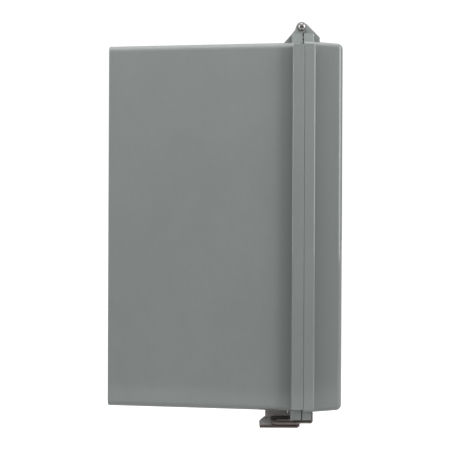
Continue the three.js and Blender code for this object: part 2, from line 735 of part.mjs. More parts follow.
function controllerTray() {
  const [x0, x1] = CONTROL.x;
  const [z0, z1] = CONTROL.z;
  const outside = block([x0, x1], [MOUNT - CONTROL.depth, MOUNT], [z0, z1]);
  const inside = block([x0 + 3, x1 - 3], [MOUNT - CONTROL.depth - 1, MOUNT - 3], [z0 + 3, z1 - 3]);
  const posts = [x0 + 12, x1 - 12].flatMap((x) =>
    [z0 + 12, z1 - 12].map((z) => rodY(4, MOUNT - 12, MOUNT - 2, x, z)),
  );
  const entry = block([-60, -20], [MOUNT - 26, MOUNT - 10], [z0 - 1, z0 + 4]);
  return cut(join(cut(outside, inside), ...posts), entry);
}

function controlBoard() {
  const [x0, x1] = [CONTROL.x[0] + 5, CONTROL.x[1] - 5];
  const [z0, z1] = [CONTROL.z[0] + 5, CONTROL.z[1] - 5];
  const y = MOUNT - 12 - GAP;
  const parts = [
    block([x0 + 12, x0 + 40], [y - 16, y - 1], [z0 + 40, z0 + 74]),
    block([x0 + 50, x0 + 68], [y - 14, y - 1], [z0 + 44, z0 + 72]),
    block([x0 + 76, x0 + 94], [y - 14, y - 1], [z0 + 44, z0 + 72]),
    block([x0 + 60, x0 + 150], [y - 12, y - 1], [z0 + 4, z0 + 16]),
    ...[0, 1, 2].map((i) => rodY(6, y - 15, y - 1, x0 + 24 + i * 15, z0 + 22)),
  ];
  return join(block([x0, x1], [y - 1.6, y], [z0, z1]), ...parts);
}

function controllerCover() {
  const back = MOUNT - CONTROL.depth - GAP;
  const [x0, x1] = CONTROL.x;
  const [z0, z1] = CONTROL.z;
  const face = roundedRectangle((x1 - x0) / 2, (z1 - z0) / 2, 4);
  const lid = prismY(face, back - 3, back).translate([(x0 + x1) / 2, 0, (z0 + z1) / 2]);
  const screen = block([-130, -50], [back - 5, back + 1], [130, 172]);
  const holes = BUTTONS.map(({ x, z }) => rodY(7, back - 5, back + 1, x, z, 24));
  return cut(lid, screen, ...holes);
}

function displayScreen() {
  const back = MOUNT - CONTROL.depth - GAP;
  const glass = block([-130 + GAP, -50 - GAP], [back - 2, back + 1], [130 + GAP, 172 - GAP]);
  return join(glass, block([-133, -47], [back + GAP, back + 1.6], [127, 175]));
}

function button({ x, z }) {
  const back = MOUNT - CONTROL.depth - GAP;
  return join(
    rodY(6.6, back - 6, back + 1, x, z, 24),
    rodY(8.5, back + 0.5, back + 3, x, z, 24),
  );
}

function terminalBlock() {
  const [x0, x1, z0, z1] = [70, 166, 98, 124];
  const body = block([x0, x1], [MOUNT - 26, MOUNT], [z0, z1]);
  const ways = 10;
  const pitch = (x1 - x0 - 4) / ways;
  const wells = Array.from({ length: ways }, (_, i) => {
    const x = x0 + 2 + pitch * (i + 0.5);
    return join(
      rodY(3, MOUNT - 27, MOUNT - 16, x, (z0 + z1) / 2, 12),
      block([x - 2.6, x + 2.6], [MOUNT - 16, MOUNT - 8], [z0 - 1, z0 + 8]),
      block([x - 2.6, x + 2.6], [MOUNT - 16, MOUNT - 8], [z1 - 8, z1 + 1]),
    );
  });
  return cut(body, ...wells);
}

// A two-pole breaker protects the control circuit. Its toggle turns about X.
const BREAKER = { x: [72, 106], z: [134, 194], depth: 48, pivotY: MOUNT - 46, pivotZ: 164, toggle: 9 };

function controlBreaker() {
  const [x0, x1] = BREAKER.x;
  const [z0, z1] = BREAKER.z;
  const face = MOUNT - BREAKER.depth;
  const body = join(
    block([x0, x1], [face + 12, MOUNT], [z0, z1]),
    block([x0, x1], [face, MOUNT], [z0 + 13, z1 - 13]),
  );
  const slot = block([x0 + 9, x1 - 9], [face - 1, face + 16], [BREAKER.pivotZ - 11, BREAKER.pivotZ + 11]);
  return cut(body, slot);
}

function breakerToggle() {
  const { pivotY: y, pivotZ: z } = BREAKER;
  const [x0, x1] = [BREAKER.x[0] + 9 + GAP, BREAKER.x[1] - 9 - GAP];
  const tilt = THREE.MathUtils.degToRad(30);
  const tip = [y - 20 * Math.cos(tilt), z + 20 * Math.sin(tilt)];
  return join(rodX(BREAKER.toggle, x0, x1, y, z, 28), prismX(strip([[y, z], tip], 6), x0, x1));
}

// ---- neutral and ground ----------------------------------------------------------------------
function bar(x, z0, z1, back, size, count) {
  const body = block([x - size / 2, x + size / 2], [back - size, back], [z0, z1]);
  const pitch = (z1 - z0) / count;
  const holes = Array.from({ length: count }, (_, i) => {
    const z = z0 + pitch * (i + 0.5);
    return join(
      rodX(size * 0.25, x - size, x + size, back - size * 0.45, z, 12),
      rodY(size * 0.2, back - size - 1, back - size * 0.45, x, z, 12),
    );
  });
  return cut(body, ...holes);
}

function neutralBase(x, z0, z1) {
  const foot = block([x - 12, x + 12], [MOUNT - 6, MOUNT], [z0 - 8, z1 + 8]);
  return join(foot, block([x - 9, x + 9], [MOUNT - 24, MOUNT - 5], [z0, z1]));
}

// ---- assembly ------------------------------------------------------------------------------------
add("body_shell", bodyShell(), shellGrey);
add("cover_shell", coverShell(), shellGrey);
add("cover_gasket", gasket(), rubber);
addPair("hinge_pin", hingePin(), stainless);
add("body_hasp_bracket", bodyHaspBracket(), stainless);
add("cover_hasp_strap", coverHaspStrap(), stainless);
haspScrewPlaces().forEach((place, i) => add(`hasp_screw_${i + 1}`, haspScrew(place), stainless));
strapRivetPlaces().forEach((place, i) => add(`strap_rivet_${i + 1}`, strapRivet(place), stainless));

add("mounting_panel", panelPlate(), panelWhite);
addPair("panel_screw_top", panelScrew(PANEL.bossX, PANEL.bossZ), zinc);
addPair("panel_screw_bottom", panelScrew(PANEL.bossX, -PANEL.bossZ), zinc);

add("switch_base", switchBase(), moulding);
addPair("side_plate", sidePlate(), zinc);
const poles = [
  { name: "L1", x: -ROTOR.pole, barX: -ROTOR.pole - 25 },
  { name: "L2", x: ROTOR.pole, barX: ROTOR.pole + 25 },
];
for (const { name, x, barX } of poles) {
  const lugLevel = ROTOR.z + 75;
  add(`utility_contact_${name}`, utilitySide(fixedContact(x)), copper);
  add(`generator_contact_${name}`, fixedContact(x), copper);
  add(`utility_lug_${name}`, utilitySide(lug(x, lugLevel, CONTACT.bar)), aluminium);
  add(`generator_lug_${name}`, lug(x, lugLevel, CONTACT.bar), aluminium);
  add(`load_bar_${name}`, loadBar(barX), copper);
  add(`load_lug_${name}`, lug(barX, BASE.bottom + 4, CONTACT.bar), aluminium);
  add(`flex_connection_${name}`, flexConnection(x, barX), copper);
  add(`arc_chute_${name}`, arcChute(x), steel);
  add(`contact_arm_${name}`, contactArm(x), copper, rotor);
}
add("rotor_crossbar", rotorCrossbar(), moulding, rotor);
add("rotor_shaft", rodX(ROTOR.shaft, -126, 116, 0, 0, 24), steel, rotor);
add("crank_arm", crankArm(), steel, rotor);
add("position_cam", positionCam(), plasticLight, rotor);
add("handle_lever", handleLever(), steel, rotor);
add("handle_grip", handleGrip(), red, rotor);

add("utility_coil", utilitySide(coil()), wireBlack);
add("generator_coil", coil(), wireBlack);
add("solenoid_frame", solenoidFrame(), zinc);
add("plunger", plunger(), steel);
add("position_switch", positionSwitch(), moulding);

add("controller_tray", controllerTray(), plasticGrey);
add("control_board", controlBoard(), board);
add("controller_cover", controllerCover(), plasticGrey);
add("display_screen", displayScreen(), wireBlack);
BUTTONS.forEach((place) => add(place.name, button(place), plasticLight));
add("terminal_block", terminalBlock(), moulding);
add("control_breaker", controlBreaker(), moulding);
add("breaker_toggle", breakerToggle(), plasticLight);
add("neutral_base", neutralBase(-152, -150, -30), moulding);
add("neutral_bar", bar(-152, -148, -32, MOUNT - 24 - GAP, 16, 7), aluminium);
add("ground_bar", bar(160, -150, -50, MOUNT, 10, 8), aluminium);

export default assembly;
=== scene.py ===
"""The looks of an automatic transfer switch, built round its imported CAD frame. Shapes are drawn in
millimetres."""
import json
import math

import bmesh
import bpy
from mathutils import Matrix, Vector


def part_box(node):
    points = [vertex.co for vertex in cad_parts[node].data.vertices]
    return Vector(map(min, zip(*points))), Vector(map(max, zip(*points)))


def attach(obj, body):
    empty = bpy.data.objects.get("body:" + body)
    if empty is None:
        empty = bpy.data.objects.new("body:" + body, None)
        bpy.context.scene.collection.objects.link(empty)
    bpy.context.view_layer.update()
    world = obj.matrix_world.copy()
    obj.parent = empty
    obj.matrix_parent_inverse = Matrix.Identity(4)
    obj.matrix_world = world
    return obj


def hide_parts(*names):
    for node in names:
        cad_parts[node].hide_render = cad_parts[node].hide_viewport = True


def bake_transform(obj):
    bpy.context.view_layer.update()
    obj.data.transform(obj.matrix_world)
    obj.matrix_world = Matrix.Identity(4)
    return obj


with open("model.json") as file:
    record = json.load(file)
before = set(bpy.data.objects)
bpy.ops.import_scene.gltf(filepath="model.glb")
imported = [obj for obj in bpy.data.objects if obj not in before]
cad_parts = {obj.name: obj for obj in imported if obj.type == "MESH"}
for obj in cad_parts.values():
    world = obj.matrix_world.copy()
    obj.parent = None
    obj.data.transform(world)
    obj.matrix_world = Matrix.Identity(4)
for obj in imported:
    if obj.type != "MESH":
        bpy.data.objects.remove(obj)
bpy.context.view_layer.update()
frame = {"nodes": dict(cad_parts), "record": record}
MM = 0.001
SLOTS = {part["node"]: part["material_slot"] for part in frame["record"]["subparts"]}

# ---- driving dimensions, in millimetres ----
HALF_W, HALF_H = 208.0, 238.5  # the body at the parting plane
RIM = -250.0  # the body flange's front face
COVER_RIM = -251.6  # the cover flange's back face
FRONT = -302.2  # the cover's front face
WALL = 5.0
EDGE = 9.0  # radius of the body's long edges
GROW, CORNER, COVER_EDGE = 1.5, 7.2, 7.0  # the cover: wider by GROW all round, with tighter corners
BODY_DRAFT, COVER_DRAFT = 0.0214, 0.064
FLANGE, FLANGE_OUT, NOTCH = 13.8, 11.6, 6.1
PIN_Y, PIN_Z = -248.8, 258.0
KNUCKLE, PIN, EAR, SET_BACK = 7.0, 3.0, 7.5, 3.5
GAP = 0.3
SEAM = (RIM + COVER_RIM) / 2
STRAP, BRACKET = 2.1, 2.5  # sheet thicknesses of the hasp
STRAP_TOP = -HALF_H - FLANGE_OUT - 2.1
BRACKET_TOP = STRAP_TOP - STRAP - 1.5
STRAP_UPPER_END = -HALF_H - 2.0
HASP_NEAR, HASP_WIDTH = -HALF_W, 51.5
STRAP_X = (HASP_NEAR + 6.4, HASP_NEAR + 31.0)
LIP, LIP_GAP = 3.0, 0.35  # the body's lips, which close the seam but for the gap
LIP_INSET = 0.2
PANEL_SCREW = (160, 188)  # places across and up from the middle, in all four quarters
WALL_HOLE = (150, 212)


# ---- mesh helpers ----
def temporary(bm):
    mesh = bpy.data.meshes.new("temporary")
    bm.to_mesh(mesh)
    bm.free()
    piece = bpy.data.objects.new("temporary", mesh)
    bpy.context.scene.collection.objects.link(piece)
    return piece


def discard(piece):
    mesh = piece.data
    bpy.data.objects.remove(piece)
    bpy.data.meshes.remove(mesh)


def modify(piece, name, kind, **settings):
    """Adds a modifier."""
    modifier = piece.modifiers.new(name, kind)
    for key, value in settings.items():
        setattr(modifier, key, value)


def boolean(bm, tools, operation):
    """One solid joined with, or cut by, each of the tools in turn."""
    for tool in tools:
        base, other = temporary(bm), temporary(tool)
        modify(base, "boolean", "BOOLEAN", object=other, operation=operation, solver="EXACT")
        bpy.context.view_layer.update()
        evaluated = base.evaluated_get(bpy.context.evaluated_depsgraph_get())
        mesh = bpy.data.meshes.new_from_object(evaluated)
        bm = bmesh.new()
        bm.from_mesh(mesh)
        bmesh.ops.remove_doubles(bm, verts=bm.verts, dist=0.002)
        bmesh.ops.dissolve_degenerate(bm, edges=bm.edges, dist=0.002)
        bpy.data.meshes.remove(mesh)
        discard(base)
        discard(other)
    return bm


def union(bm, *tools):
    return boolean(bm, tools, "UNION")


def cut(bm, *tools):
    return boolean(bm, tools, "DIFFERENCE")


def mirrored(bm):
    """A copy on the other side of the middle plane."""
    copy = bm.copy()
    for vert in copy.verts:
        vert.co.x = -vert.co.x
    bmesh.ops.reverse_faces(copy, faces=copy.faces)
    return copy


def merged(*parts):
    """Several separate solids in one mesh."""
    whole = bmesh.new()
    for part in parts:
        mesh = bpy.data.meshes.new("temporary")
        part.to_mesh(mesh)
        part.free()
        whole.from_mesh(mesh)
        bpy.data.meshes.remove(mesh)
    return whole


def round_edges(bm, radius, segments=2, angle=25):
    """Rounds every convex or concave edge sharper than the angle."""
    if radius:
        sharp = [e for e in bm.edges if e.is_manifold and e.calc_face_angle() > math.radians(angle)]
        shape = {"offset": radius, "segments": segments, "profile": 0.5, "clamp_overlap": True}
        bmesh.ops.bevel(bm, geom=sharp, affect="EDGES", **shape)
    return bm


def block(x, y, z, radius=0.0, segments=2):
    bm = bmesh.new()
    bmesh.ops.create_cube(bm, size=1)
    for vert in bm.verts:
        vert.co.x = x[0] if vert.co.x < 0 else x[1]
        vert.co.y = y[0] if vert.co.y < 0 else y[1]
        vert.co.z = z[0] if vert.co.z < 0 else z[1]
    return round_edges(bm, radius, segments)


def on_axis(axis, across, along=0):
    """A point from its two coordinates across an axis and its place along it."""
    u, v = across
    return {"X": (along, u, v), "Y": (u, along, v), "Z": (u, v, along)}[axis]


def extrude(points, axis, span, radius=0.0, segments=2):
    """A prism of an outline. Points are (y, z) along X, (x, z) along Y, or (x, y) along Z."""
    bm = bmesh.new()
    face = bm.faces.new([bm.verts.new(on_axis(axis, point, span[0])) for point in points])
    moved = bmesh.ops.extrude_face_region(bm, geom=[face])["geom"]
    shift = on_axis(axis, (0, 0), span[1] - span[0])
    bmesh.ops.translate(bm, vec=shift, verts=[g for g in moved if isinstance(g, bmesh.types.BMVert)])
    bmesh.ops.recalc_face_normals(bm, faces=bm.faces)
    return round_edges(bm, radius, segments)


def skin(rings, bm, capped=True):
    """Faces between rings of equal length, and over both ends. A ring on an axis is one vertex, repeated."""
    for lower, upper in zip(rings, rings[1:]):
        for i in range(len(lower)):
            j = (i + 1) % len(lower)
            bm.faces.new(list(dict.fromkeys((lower[i], lower[j], upper[j], upper[i]))))
    if capped:
        bm.faces.new(rings[0])
        bm.faces.new(rings[-1])
    bmesh.ops.recalc_face_normals(bm, faces=bm.faces)
    return bm


def arc(centre, radius, start, end, steps):
    """Points round a centre from one angle to another, in degrees."""
    angles = [math.radians(start + (end - start) * i / steps) for i in range(steps + 1)]
    return [(centre[0] + radius * math.cos(a), centre[1] + radius * math.sin(a)) for a in angles]


AXES = {
    "X": Matrix(((0, 0, 1, 0), (1, 0, 0, 0), (0, 1, 0, 0), (0, 0, 0, 1))),
    "Y": Matrix(((1, 0, 0, 0), (0, 0, 1, 0), (0, -1, 0, 0), (0, 0, 0, 1))),
    "Z": Matrix.Identity(4),
}


def lathe(profile, axis, centre, segments=32, closed=False):
    """Turns (radius, height) points round an axis through centre. The profile starts and ends on the axis, or
    closes on itself."""
    bm = bmesh.new()
    turns = [2 * math.pi * i / segments for i in range(segments)]
    rings = []
    for radius, height in profile:
        if radius < 1e-6:
            rings.append([bm.verts.new((0, 0, height))] * segments)
        else:
            rings.append([bm.verts.new((radius * math.cos(a), radius * math.sin(a), height)) for a in turns])
    if closed:
        rings.append(rings[0])
    skin(rings, bm, False)
    bmesh.ops.transform(bm, matrix=Matrix.Translation(centre) @ AXES[axis], verts=bm.verts)
    bmesh.ops.recalc_face_normals(bm, faces=bm.faces)
    return bm


def rod(radius, axis, span, centre, bevel=0.0, segments=32):
    """A round bar. Its centre gives the two other coordinates, and span runs along the axis."""
    low, high = sorted(span)
    profile, edge = [(radius, low), (radius, high)], radius - bevel
    if bevel:
        profile = arc((edge, low + bevel), bevel, -90, 0, 3) + arc((edge, high - bevel), bevel, 0, 90, 3)
    return lathe([(0, low), *profile, (0, high)], axis, on_axis(axis, centre), segments)


def tube(outer, inner, axis, span, centre, bevel=0.3):
    """A round bar with a hole down its middle."""
    low, high = span
    profile = [(inner, low + bevel), (inner + bevel, low), (outer - bevel, low), (outer, low + bevel)]
    profile += [(outer, high - bevel), (outer - bevel, high), (inner + bevel, high), (inner, high - bevel)]
    return lathe(profile, axis, on_axis(axis, centre), 32, True)


def bend_round(corner, back, ahead, reach, steps):
    """Points along a curve that cuts a corner. Back and ahead point at the neighbours."""
    start, end = corner + back.normalized() * reach, corner + ahead.normalized() * reach
    times = [step / steps for step in range(steps + 1)]
    return [start * (1 - t) ** 2 + corner * 2 * t * (1 - t) + end * t**2 for t in times]


def rounded(points, radius, closed=True):
    """An outline or path with its corners rounded."""
    made = []
    for i, point in enumerate(points):
        if not closed and i in (0, len(points) - 1):
            made.append(point)
            continue
        corner, before, after = (Vector(points[j]) for j in (i, i - 1, (i + 1) % len(points)))
        back, ahead = before - corner, after - corner
        half = math.atan2(abs(back.x * ahead.y - back.y * ahead.x), back.dot(ahead)) / 2
        reach = min(radius / math.tan(half), back.length / 2, ahead.length / 2)
        made += [tuple(p) for p in bend_round(corner, back, ahead, reach, 5)]
    return made


def sheet(points, radius, thickness, axis, span):
    """Bent sheet metal: a path down the middle of its section, with rounded bends."""
    path = [Vector(p) for p in rounded(points, radius, False)]
    sides = ([], [])
    for i, point in enumerate(path):
        along = (path[min(i + 1, len(path) - 1)] - path[max(i - 1, 0)]).normalized()
        normal = Vector((-along.y, along.x)) * thickness / 2
        sides[0].append(tuple(point + normal))
        sides[1].append(tuple(point - normal))
    return extrude(sides[0] + sides[1][::-1], axis, span)


def wire(points, radius=1.2, segments=8, bend=9.0, flat=1.0):
    """A wire through points, with soft bends. Flat makes it a strap, wider than it is thick."""
    corners = [Vector(p) for p in points]
    path = [corners[0]]
    for before, corner, after in zip(corners, corners[1:], corners[2:]):
        back, ahead = before - corner, after - corner
        path += bend_round(corner, back, ahead, min(bend, back.length / 2, ahead.length / 2), 4)
    path.append(corners[-1])
    bm = bmesh.new()
    rings = []
    side = Vector((1, 0.02, 0.03))
    for i, point in enumerate(path):
        along = (path[min(i + 1, len(path) - 1)] - path[max(i - 1, 0)]).normalized()
        side = (side - along * side.dot(along)).normalized()
        other = along.cross(side)
        turns = [2 * math.pi * k / segments for k in range(segments)]
        spokes = [side * math.cos(a) * flat + other * math.sin(a) for a in turns]
        rings.append([bm.verts.new(point + radius * spoke) for spoke in spokes])
    return skin(rings, bm)


def screw(x, z, front, radius=3.2, drive="cross"):
    """A screw head that faces forward, its underside at `front`."""
    top = front - radius * 0.55
    head = rod(radius, "Y", (top, front), (x, z), radius * 0.2, 24)
    deep = (top - 1, top + radius * 0.3)
    if drive == "hex":
        return cut(head, rod(radius * 0.5, "Y", deep, (x, z), 0, 6))
    arm, half = radius * 0.62, radius * 0.13
    slots = [block((x - arm, x + arm), deep, (z - half, z + half))]
    if drive == "cross":
        slots.append(block((x - half, x + half), deep, (z - arm, z + arm)))
    return cut(head, *slots)


def box(node):
    """The spans of a CAD node along X, Y and Z, in millimetres."""
    low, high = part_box(node)
    return [(a / MM, b / MM) for a, b in zip(low, high)]


def middle(span):
    return (span[0] + span[1]) / 2


def show(bm, name, look, body, stands_for=(), slot=None, angle=32):
    """Turns a mesh in millimetres into a piece that rides on a body. A piece given no body rides on none."""
    bmesh.ops.recalc_face_normals(bm, faces=bm.faces)
    mesh = bpy.data.meshes.new(name)
    bm.to_mesh(mesh)
    bm.free()
    mesh.transform(Matrix.Scale(MM, 4))
    piece = bpy.data.objects.new(name, mesh)
    bpy.context.scene.collection.objects.link(piece)
    mesh.materials.append(LOOKS[look])
    mesh.shade_smooth()
    mesh.set_sharp_from_angle(angle=math.radians(angle))
    modify(piece, "weighted_normals", "WEIGHTED_NORMAL", keep_sharp=True)
    if body:
        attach(piece, body)
    if stands_for:
        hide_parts(*stands_for)
    slot or SLOTS[stands_for[0]]
    return piece


def fitting(name, look, *parts, slot=None, angle=32):
    """Small parts that stand for no CAD node, fixed to the enclosure, in one piece."""
    show(merged(*parts), name, look, "enclosure", slot=slot or look, angle=angle)


# ---- materials ----
class Nodes:
    """A node tree, and short ways to add nodes to it."""

    def __init__(self, owner, coords):
        owner.use_nodes = True
        self.tree = owner.node_tree
        self.coords = self.node("ShaderNodeTexCoord").outputs[coords]

    def node(self, kind, settings=None, **inputs):
        node = self.tree.nodes.new(kind)
        for key, value in (settings or {}).items():
            setattr(node, key, value)
        for key, value in inputs.items():
            self.feed(node.inputs[key.replace("_", " ")], value)
        return node

    def feed(self, socket, value):
        if isinstance(value, bpy.types.NodeSocket):
            self.tree.links.new(value, socket)
        else:
            socket.default_value = value

    def math(self, operation, *values):
        node = self.node("ShaderNodeMath", {"operation": operation})
        for socket, value in zip(node.inputs, values):
            self.feed(socket, value)
        return node.outputs[0]

    def along(self, axis, vector=None):
        """One coordinate of a vector, or of the place in the frame, in metres."""
        return self.node("ShaderNodeSeparateXYZ", Vector=vector or self.coords).outputs[axis]


class Look(Nodes):
    """A Principled material whose colour, roughness and bump come from procedural nodes."""

    def __init__(self, name, roughness=0.5, metallic=0.0, **inputs):
        self.material = bpy.data.materials.new(name)
        super().__init__(self.material, "Object")
        self.bsdf = self.tree.nodes["Principled BSDF"]
        for key, value in {"Roughness": roughness, "Metallic": metallic, **inputs}.items():
            self.bsdf.inputs[key.replace("_", " ")].default_value = value

    def noise(self, size, detail=3.0, stretch=(1, 1, 1), distortion=0.0):
        """Noise whose features are about `size` millimetres, stretched along the axes."""
        scale = 1 / (size * MM)
        mapping = self.node("ShaderNodeMapping", Vector=self.coords)
        mapping.inputs["Scale"].default_value = [scale / s for s in stretch]
        texture = self.node(
            "ShaderNodeTexNoise", Vector=mapping.outputs[0], Scale=1.0, Detail=detail, Distortion=distortion
        )
        return texture.outputs["Fac"]

    def waves(self, pitch, direction="X", distortion=0.0):
        """Parallel bands, `pitch` millimetres apart."""
        texture = self.node(
            "ShaderNodeTexWave",
            {"bands_direction": direction, "wave_profile": "SIN"},
            Vector=self.coords,
            Scale=1 / (pitch * MM) / 3.183,
            Distortion=distortion,
        )
        return texture.outputs["Fac"]

    def span(self, value, low, high, start=0.35, end=0.65):
        """Maps a 0 to 1 texture onto the numbers low to high."""
        limits = {"From_Min": start, "From_Max": end, "To_Min": low, "To_Max": high}
        return self.node("ShaderNodeMapRange", Value=value, **limits).outputs[0]

    def blend(self, factor, first, second):
        node = self.node("ShaderNodeMix", {"data_type": "RGBA"})
        self.feed(node.inputs["Factor"], factor)
        for socket, value in ((node.inputs[6], first), (node.inputs[7], second)):
            self.feed(socket, value if isinstance(value, bpy.types.NodeSocket) else (*value, 1))
        return node.outputs[2]

    def multiply(self, first, second):
        return self.math("MULTIPLY", first, second)

    def edges(self, radius, low=0.0, high=1.0):
        """1 along edges and 0 on flats, from how far a bevelled normal turns from the real one."""
        bevel = self.node("ShaderNodeBevel", {"samples": 4}, Radius=radius * MM)
        normal = self.node("ShaderNodeNewGeometry").outputs["Normal"]
        dot = self.node("ShaderNodeVectorMath", {"operation": "DOT_PRODUCT"})
        self.feed(dot.inputs[0], bevel.outputs[0])
        self.feed(dot.inputs[1], normal)
        return self.span(dot.outputs["Value"], high, low, 0.85, 0.995)

    def color(self, value):
        self.feed(self.bsdf.inputs["Base Color"], value)

    def rough(self, value):
        self.feed(self.bsdf.inputs["Roughness"], value)

    def bump(self, *heights):
        """Bumps of (texture, depth in millimetres), one on top of the other."""
        normal = None
        for height, depth in heights:
            node = self.node("ShaderNodeBump", Height=height, Strength=1.0, Distance=depth * MM)
            if normal:
                self.feed(node.inputs["Normal"], normal)
            normal = node.outputs[0]
        self.feed(self.bsdf.inputs["Normal"], normal)


def tint(color, factor):
    return tuple(c * factor for c in color)


def srgb(red, green, blue):
    """A colour as seen on a screen, 0 to 255, turned into light."""
    values = [c / 255 for c in (red, green, blue)]
    return tuple(c / 12.92 if c <= 0.04045 else ((c + 0.055) / 1.055) ** 2.4 for c in values)


def moulded(name, color, roughness=0.45, grain=1.1, depth=0.012, contrast=0.06):
    """Moulded plastic: cloudy colour, a fine mould grain and slightly uneven gloss."""
    look = Look(name, roughness)
    cloud = look.noise(55, 4)
    speckle = look.noise(grain * 0.8, 2)
    body = look.blend(look.span(cloud, 0, 1), tint(color, 1 - contrast), tint(color, 1 + contrast))
    look.color(look.blend(look.span(speckle, 0, 0.16), body, tint(color, 0.8)))
    look.rough(look.span(look.noise(18, 3), roughness - 0.05, roughness + 0.06))
    look.bump((look.noise(grain, 2), depth), (look.noise(9, 2), depth * 1.6))
    return look.material


def metal(name, color, roughness=0.3, brush=(14, 1, 1), line=0.35, depth=0.002, stain=0.12, metallic=1.0):
    """Bare metal: brushed lines, uneven polish and faint stains. Less metallic is duller, as if oxidised."""
    look = Look(name, roughness, metallic)
    lines = look.noise(line, 3, brush)
    cloud = look.noise(16, 5)
    shade = look.blend(look.span(cloud, 0, 1), tint(color, 1 - stain), tint(color, 1 + stain * 0.4))
    look.color(look.blend(look.span(lines, 0, 0.25), shade, tint(color, 0.72)))
    look.rough(look.span(lines, roughness - 0.06, roughness + 0.12))
    look.bump((lines, depth))
    return look.material


def shell_look():
    """The enclosure's compression-moulded polyester: faint fibre clouding, a painted highlight along the
    edges and a slightly wavy gloss. The hinge ears are painted paler, partly for the sanding of their flash
    and partly as a painted highlight. Painted shade darkens the corner behind the flange and the cover."""
    color = srgb(126, 131, 129)
    look = Look("shell_grey", 0.5, Specular_IOR_Level=0.2, Coat_Weight=1.0, Coat_Roughness=0.06, Coat_IOR=1.5)
    cloud = look.noise(70, 5, (1, 1, 1.4), 0.4)
    fibres = look.noise(5, 6, (1, 1, 2.2), 1.2)
    body = look.blend(look.span(cloud, 0, 1), tint(color, 0.97), tint(color, 1.025))
    veined = look.blend(look.span(fibres, 0, 0.3, 0.42, 0.62), body, tint(color, 0.93))
    # The hinge ears are painted paler: partly the sanding of their flash, partly a painted highlight of the
    # light from above.
    above = look.span(look.along("Z"), 0, 1, (HALF_H - 2) * MM, (HALF_H - 1) * MM)
    inboard = look.span(look.math("ABSOLUTE", look.along("X")), 1, 0, (HALF_W - 6) * MM, (HALF_W - 4) * MM)
    normal = look.node("ShaderNodeNewGeometry").outputs["Normal"]
    sideways = look.span(look.math("ABSOLUTE", look.along("X", normal)), 0, 1, 0.7, 0.75)
    ear = look.multiply(look.multiply(above, inboard), sideways)
    sanded_and_lit = look.blend(look.multiply(ear, look.span(look.noise(3, 4), 0.7, 1)), veined, tint(color, 1.38))
    depth, step = look.along("Y"), 0.4 * MM
    flange_back, flange_front = (RIM + FLANGE) * MM, (COVER_RIM - FLANGE) * MM
    # Painted shade: a band about 23 mm wide behind the body's flange is painted darker, where the flange
    # shades the side.
    behind = look.span(depth, 0, 1, flange_back, flange_back + step)
    corner = look.multiply(behind, look.span(depth, 1, 0, flange_back, flange_back + 23 * MM))
    shaded_behind_flange = look.blend(corner, sanded_and_lit, tint(color, 0.78))
    # Painted shade: the cover, in front of the flange, is painted darker, standing in for the weaker light on
    # it.
    on_cover = look.span(depth, 0.5, 0, flange_front - step, flange_front)
    shaded_cover = look.blend(on_cover, shaded_behind_flange, tint(color, 0.84))
    # Painted highlight: edges within about 1.2 mm are painted paler, as light catching the rounded edges.
    look.color(look.blend(look.edges(1.2, 0.0, 0.35), shaded_cover, tint(color, 1.2)))
    look.rough(look.span(fibres, 0.45, 0.56))
    look.bump((look.noise(0.9, 2), 0.004), (look.noise(11, 3), 0.012))
    wavy = look.node("ShaderNodeBump", Height=look.noise(190, 1), Strength=1.0, Distance=1.1 * MM)
    look.feed(look.bsdf.inputs["Coat Normal"], wavy.outputs[0])
    return look.material


def hasp_look():
    """Dull stainless with long scratches. Its colour is painted shade: dark towards the plate's outer edge,
    pale inboard.
    """
    look = Look("shaded_stainless", 0.5, 0.15)
    # Painted shade: the colour runs from dark at the plate's outer edge to pale 25 mm inboard, standing in
    # for how light falls on the hasp.
    inner = look.span(look.along("X"), 0, 1, (HASP_NEAR + 1) * MM, (HASP_NEAR + 26) * MM)
    base = look.blend(inner, srgb(66, 55, 51), srgb(242, 236, 236))
    lines = look.noise(0.35, 3, (1, 10, 1))
    look.color(look.blend(look.multiply(lines, 0.35), base, srgb(70, 62, 58)))
    look.rough(look.span(lines, 0.42, 0.6))
    look.bump((lines, 0.002))
    return look.material


def rubber_look():
    look = Look("gasket_rubber", 0.9)
    look.color(look.blend(look.noise(2, 3), srgb(28, 28, 30), srgb(48, 48, 50)))
    look.bump((look.noise(0.5, 2), 0.05))
    return look.material


def board_look():
    """Solder mask over copper tracks."""
    look = Look("circuit_board", 0.35)
    tracks = look.multiply(
        look.span(look.waves(3.1, "X", 6), 0, 1, 0.72, 0.8), look.span(look.noise(9, 1), 0, 1, 0.45, 0.5)
    )
    look.color(look.blend(tracks, srgb(24, 84, 52), srgb(52, 128, 78)))
    look.bump((tracks, 0.04))
    return look.material


def coil_look():
    """Insulating tape wound over a coil."""
    look = Look("coil_wrap", 0.42)
    turns = look.waves(3.4, "Z", 0.5)
    look.color(look.blend(turns, srgb(26, 24, 24), srgb(52, 46, 40)))
    look.rough(look.span(look.noise(4, 3), 0.34, 0.52))
    look.bump((turns, 0.12), (look.noise(1.2, 2), 0.03))
    return look.material


def display_look():
    look = Look("display_black", 0.12, Coat_Weight=0.6, Coat_Roughness=0.05)
    rows = look.waves(0.6, "Z")
    look.color(look.blend(look.multiply(rows, 0.5), srgb(14, 18, 20), srgb(30, 40, 40)))
    look.rough(look.span(look.noise(20, 3), 0.1, 0.18))
    return look.material


def braid_look():
    """Woven tinned copper."""
    look = Look("braid", 0.38, 1.0)
    weave = look.multiply(look.waves(1.1, "X", 0.6), look.waves(1.3, "DIAGONAL", 0.6))
    look.color(look.blend(weave, srgb(120, 74, 56), srgb(226, 168, 136)))
    look.bump((weave, 0.25))
    return look.material


def lamp_look(name, color):
    look = Look(name, 0.15, Coat_Weight=0.5, Emission_Strength=0.25)
    look.color(look.blend(look.noise(2, 2), tint(color, 0.8), color))
    look.feed(look.bsdf.inputs["Emission Color"], (*color, 1))
    return look.material


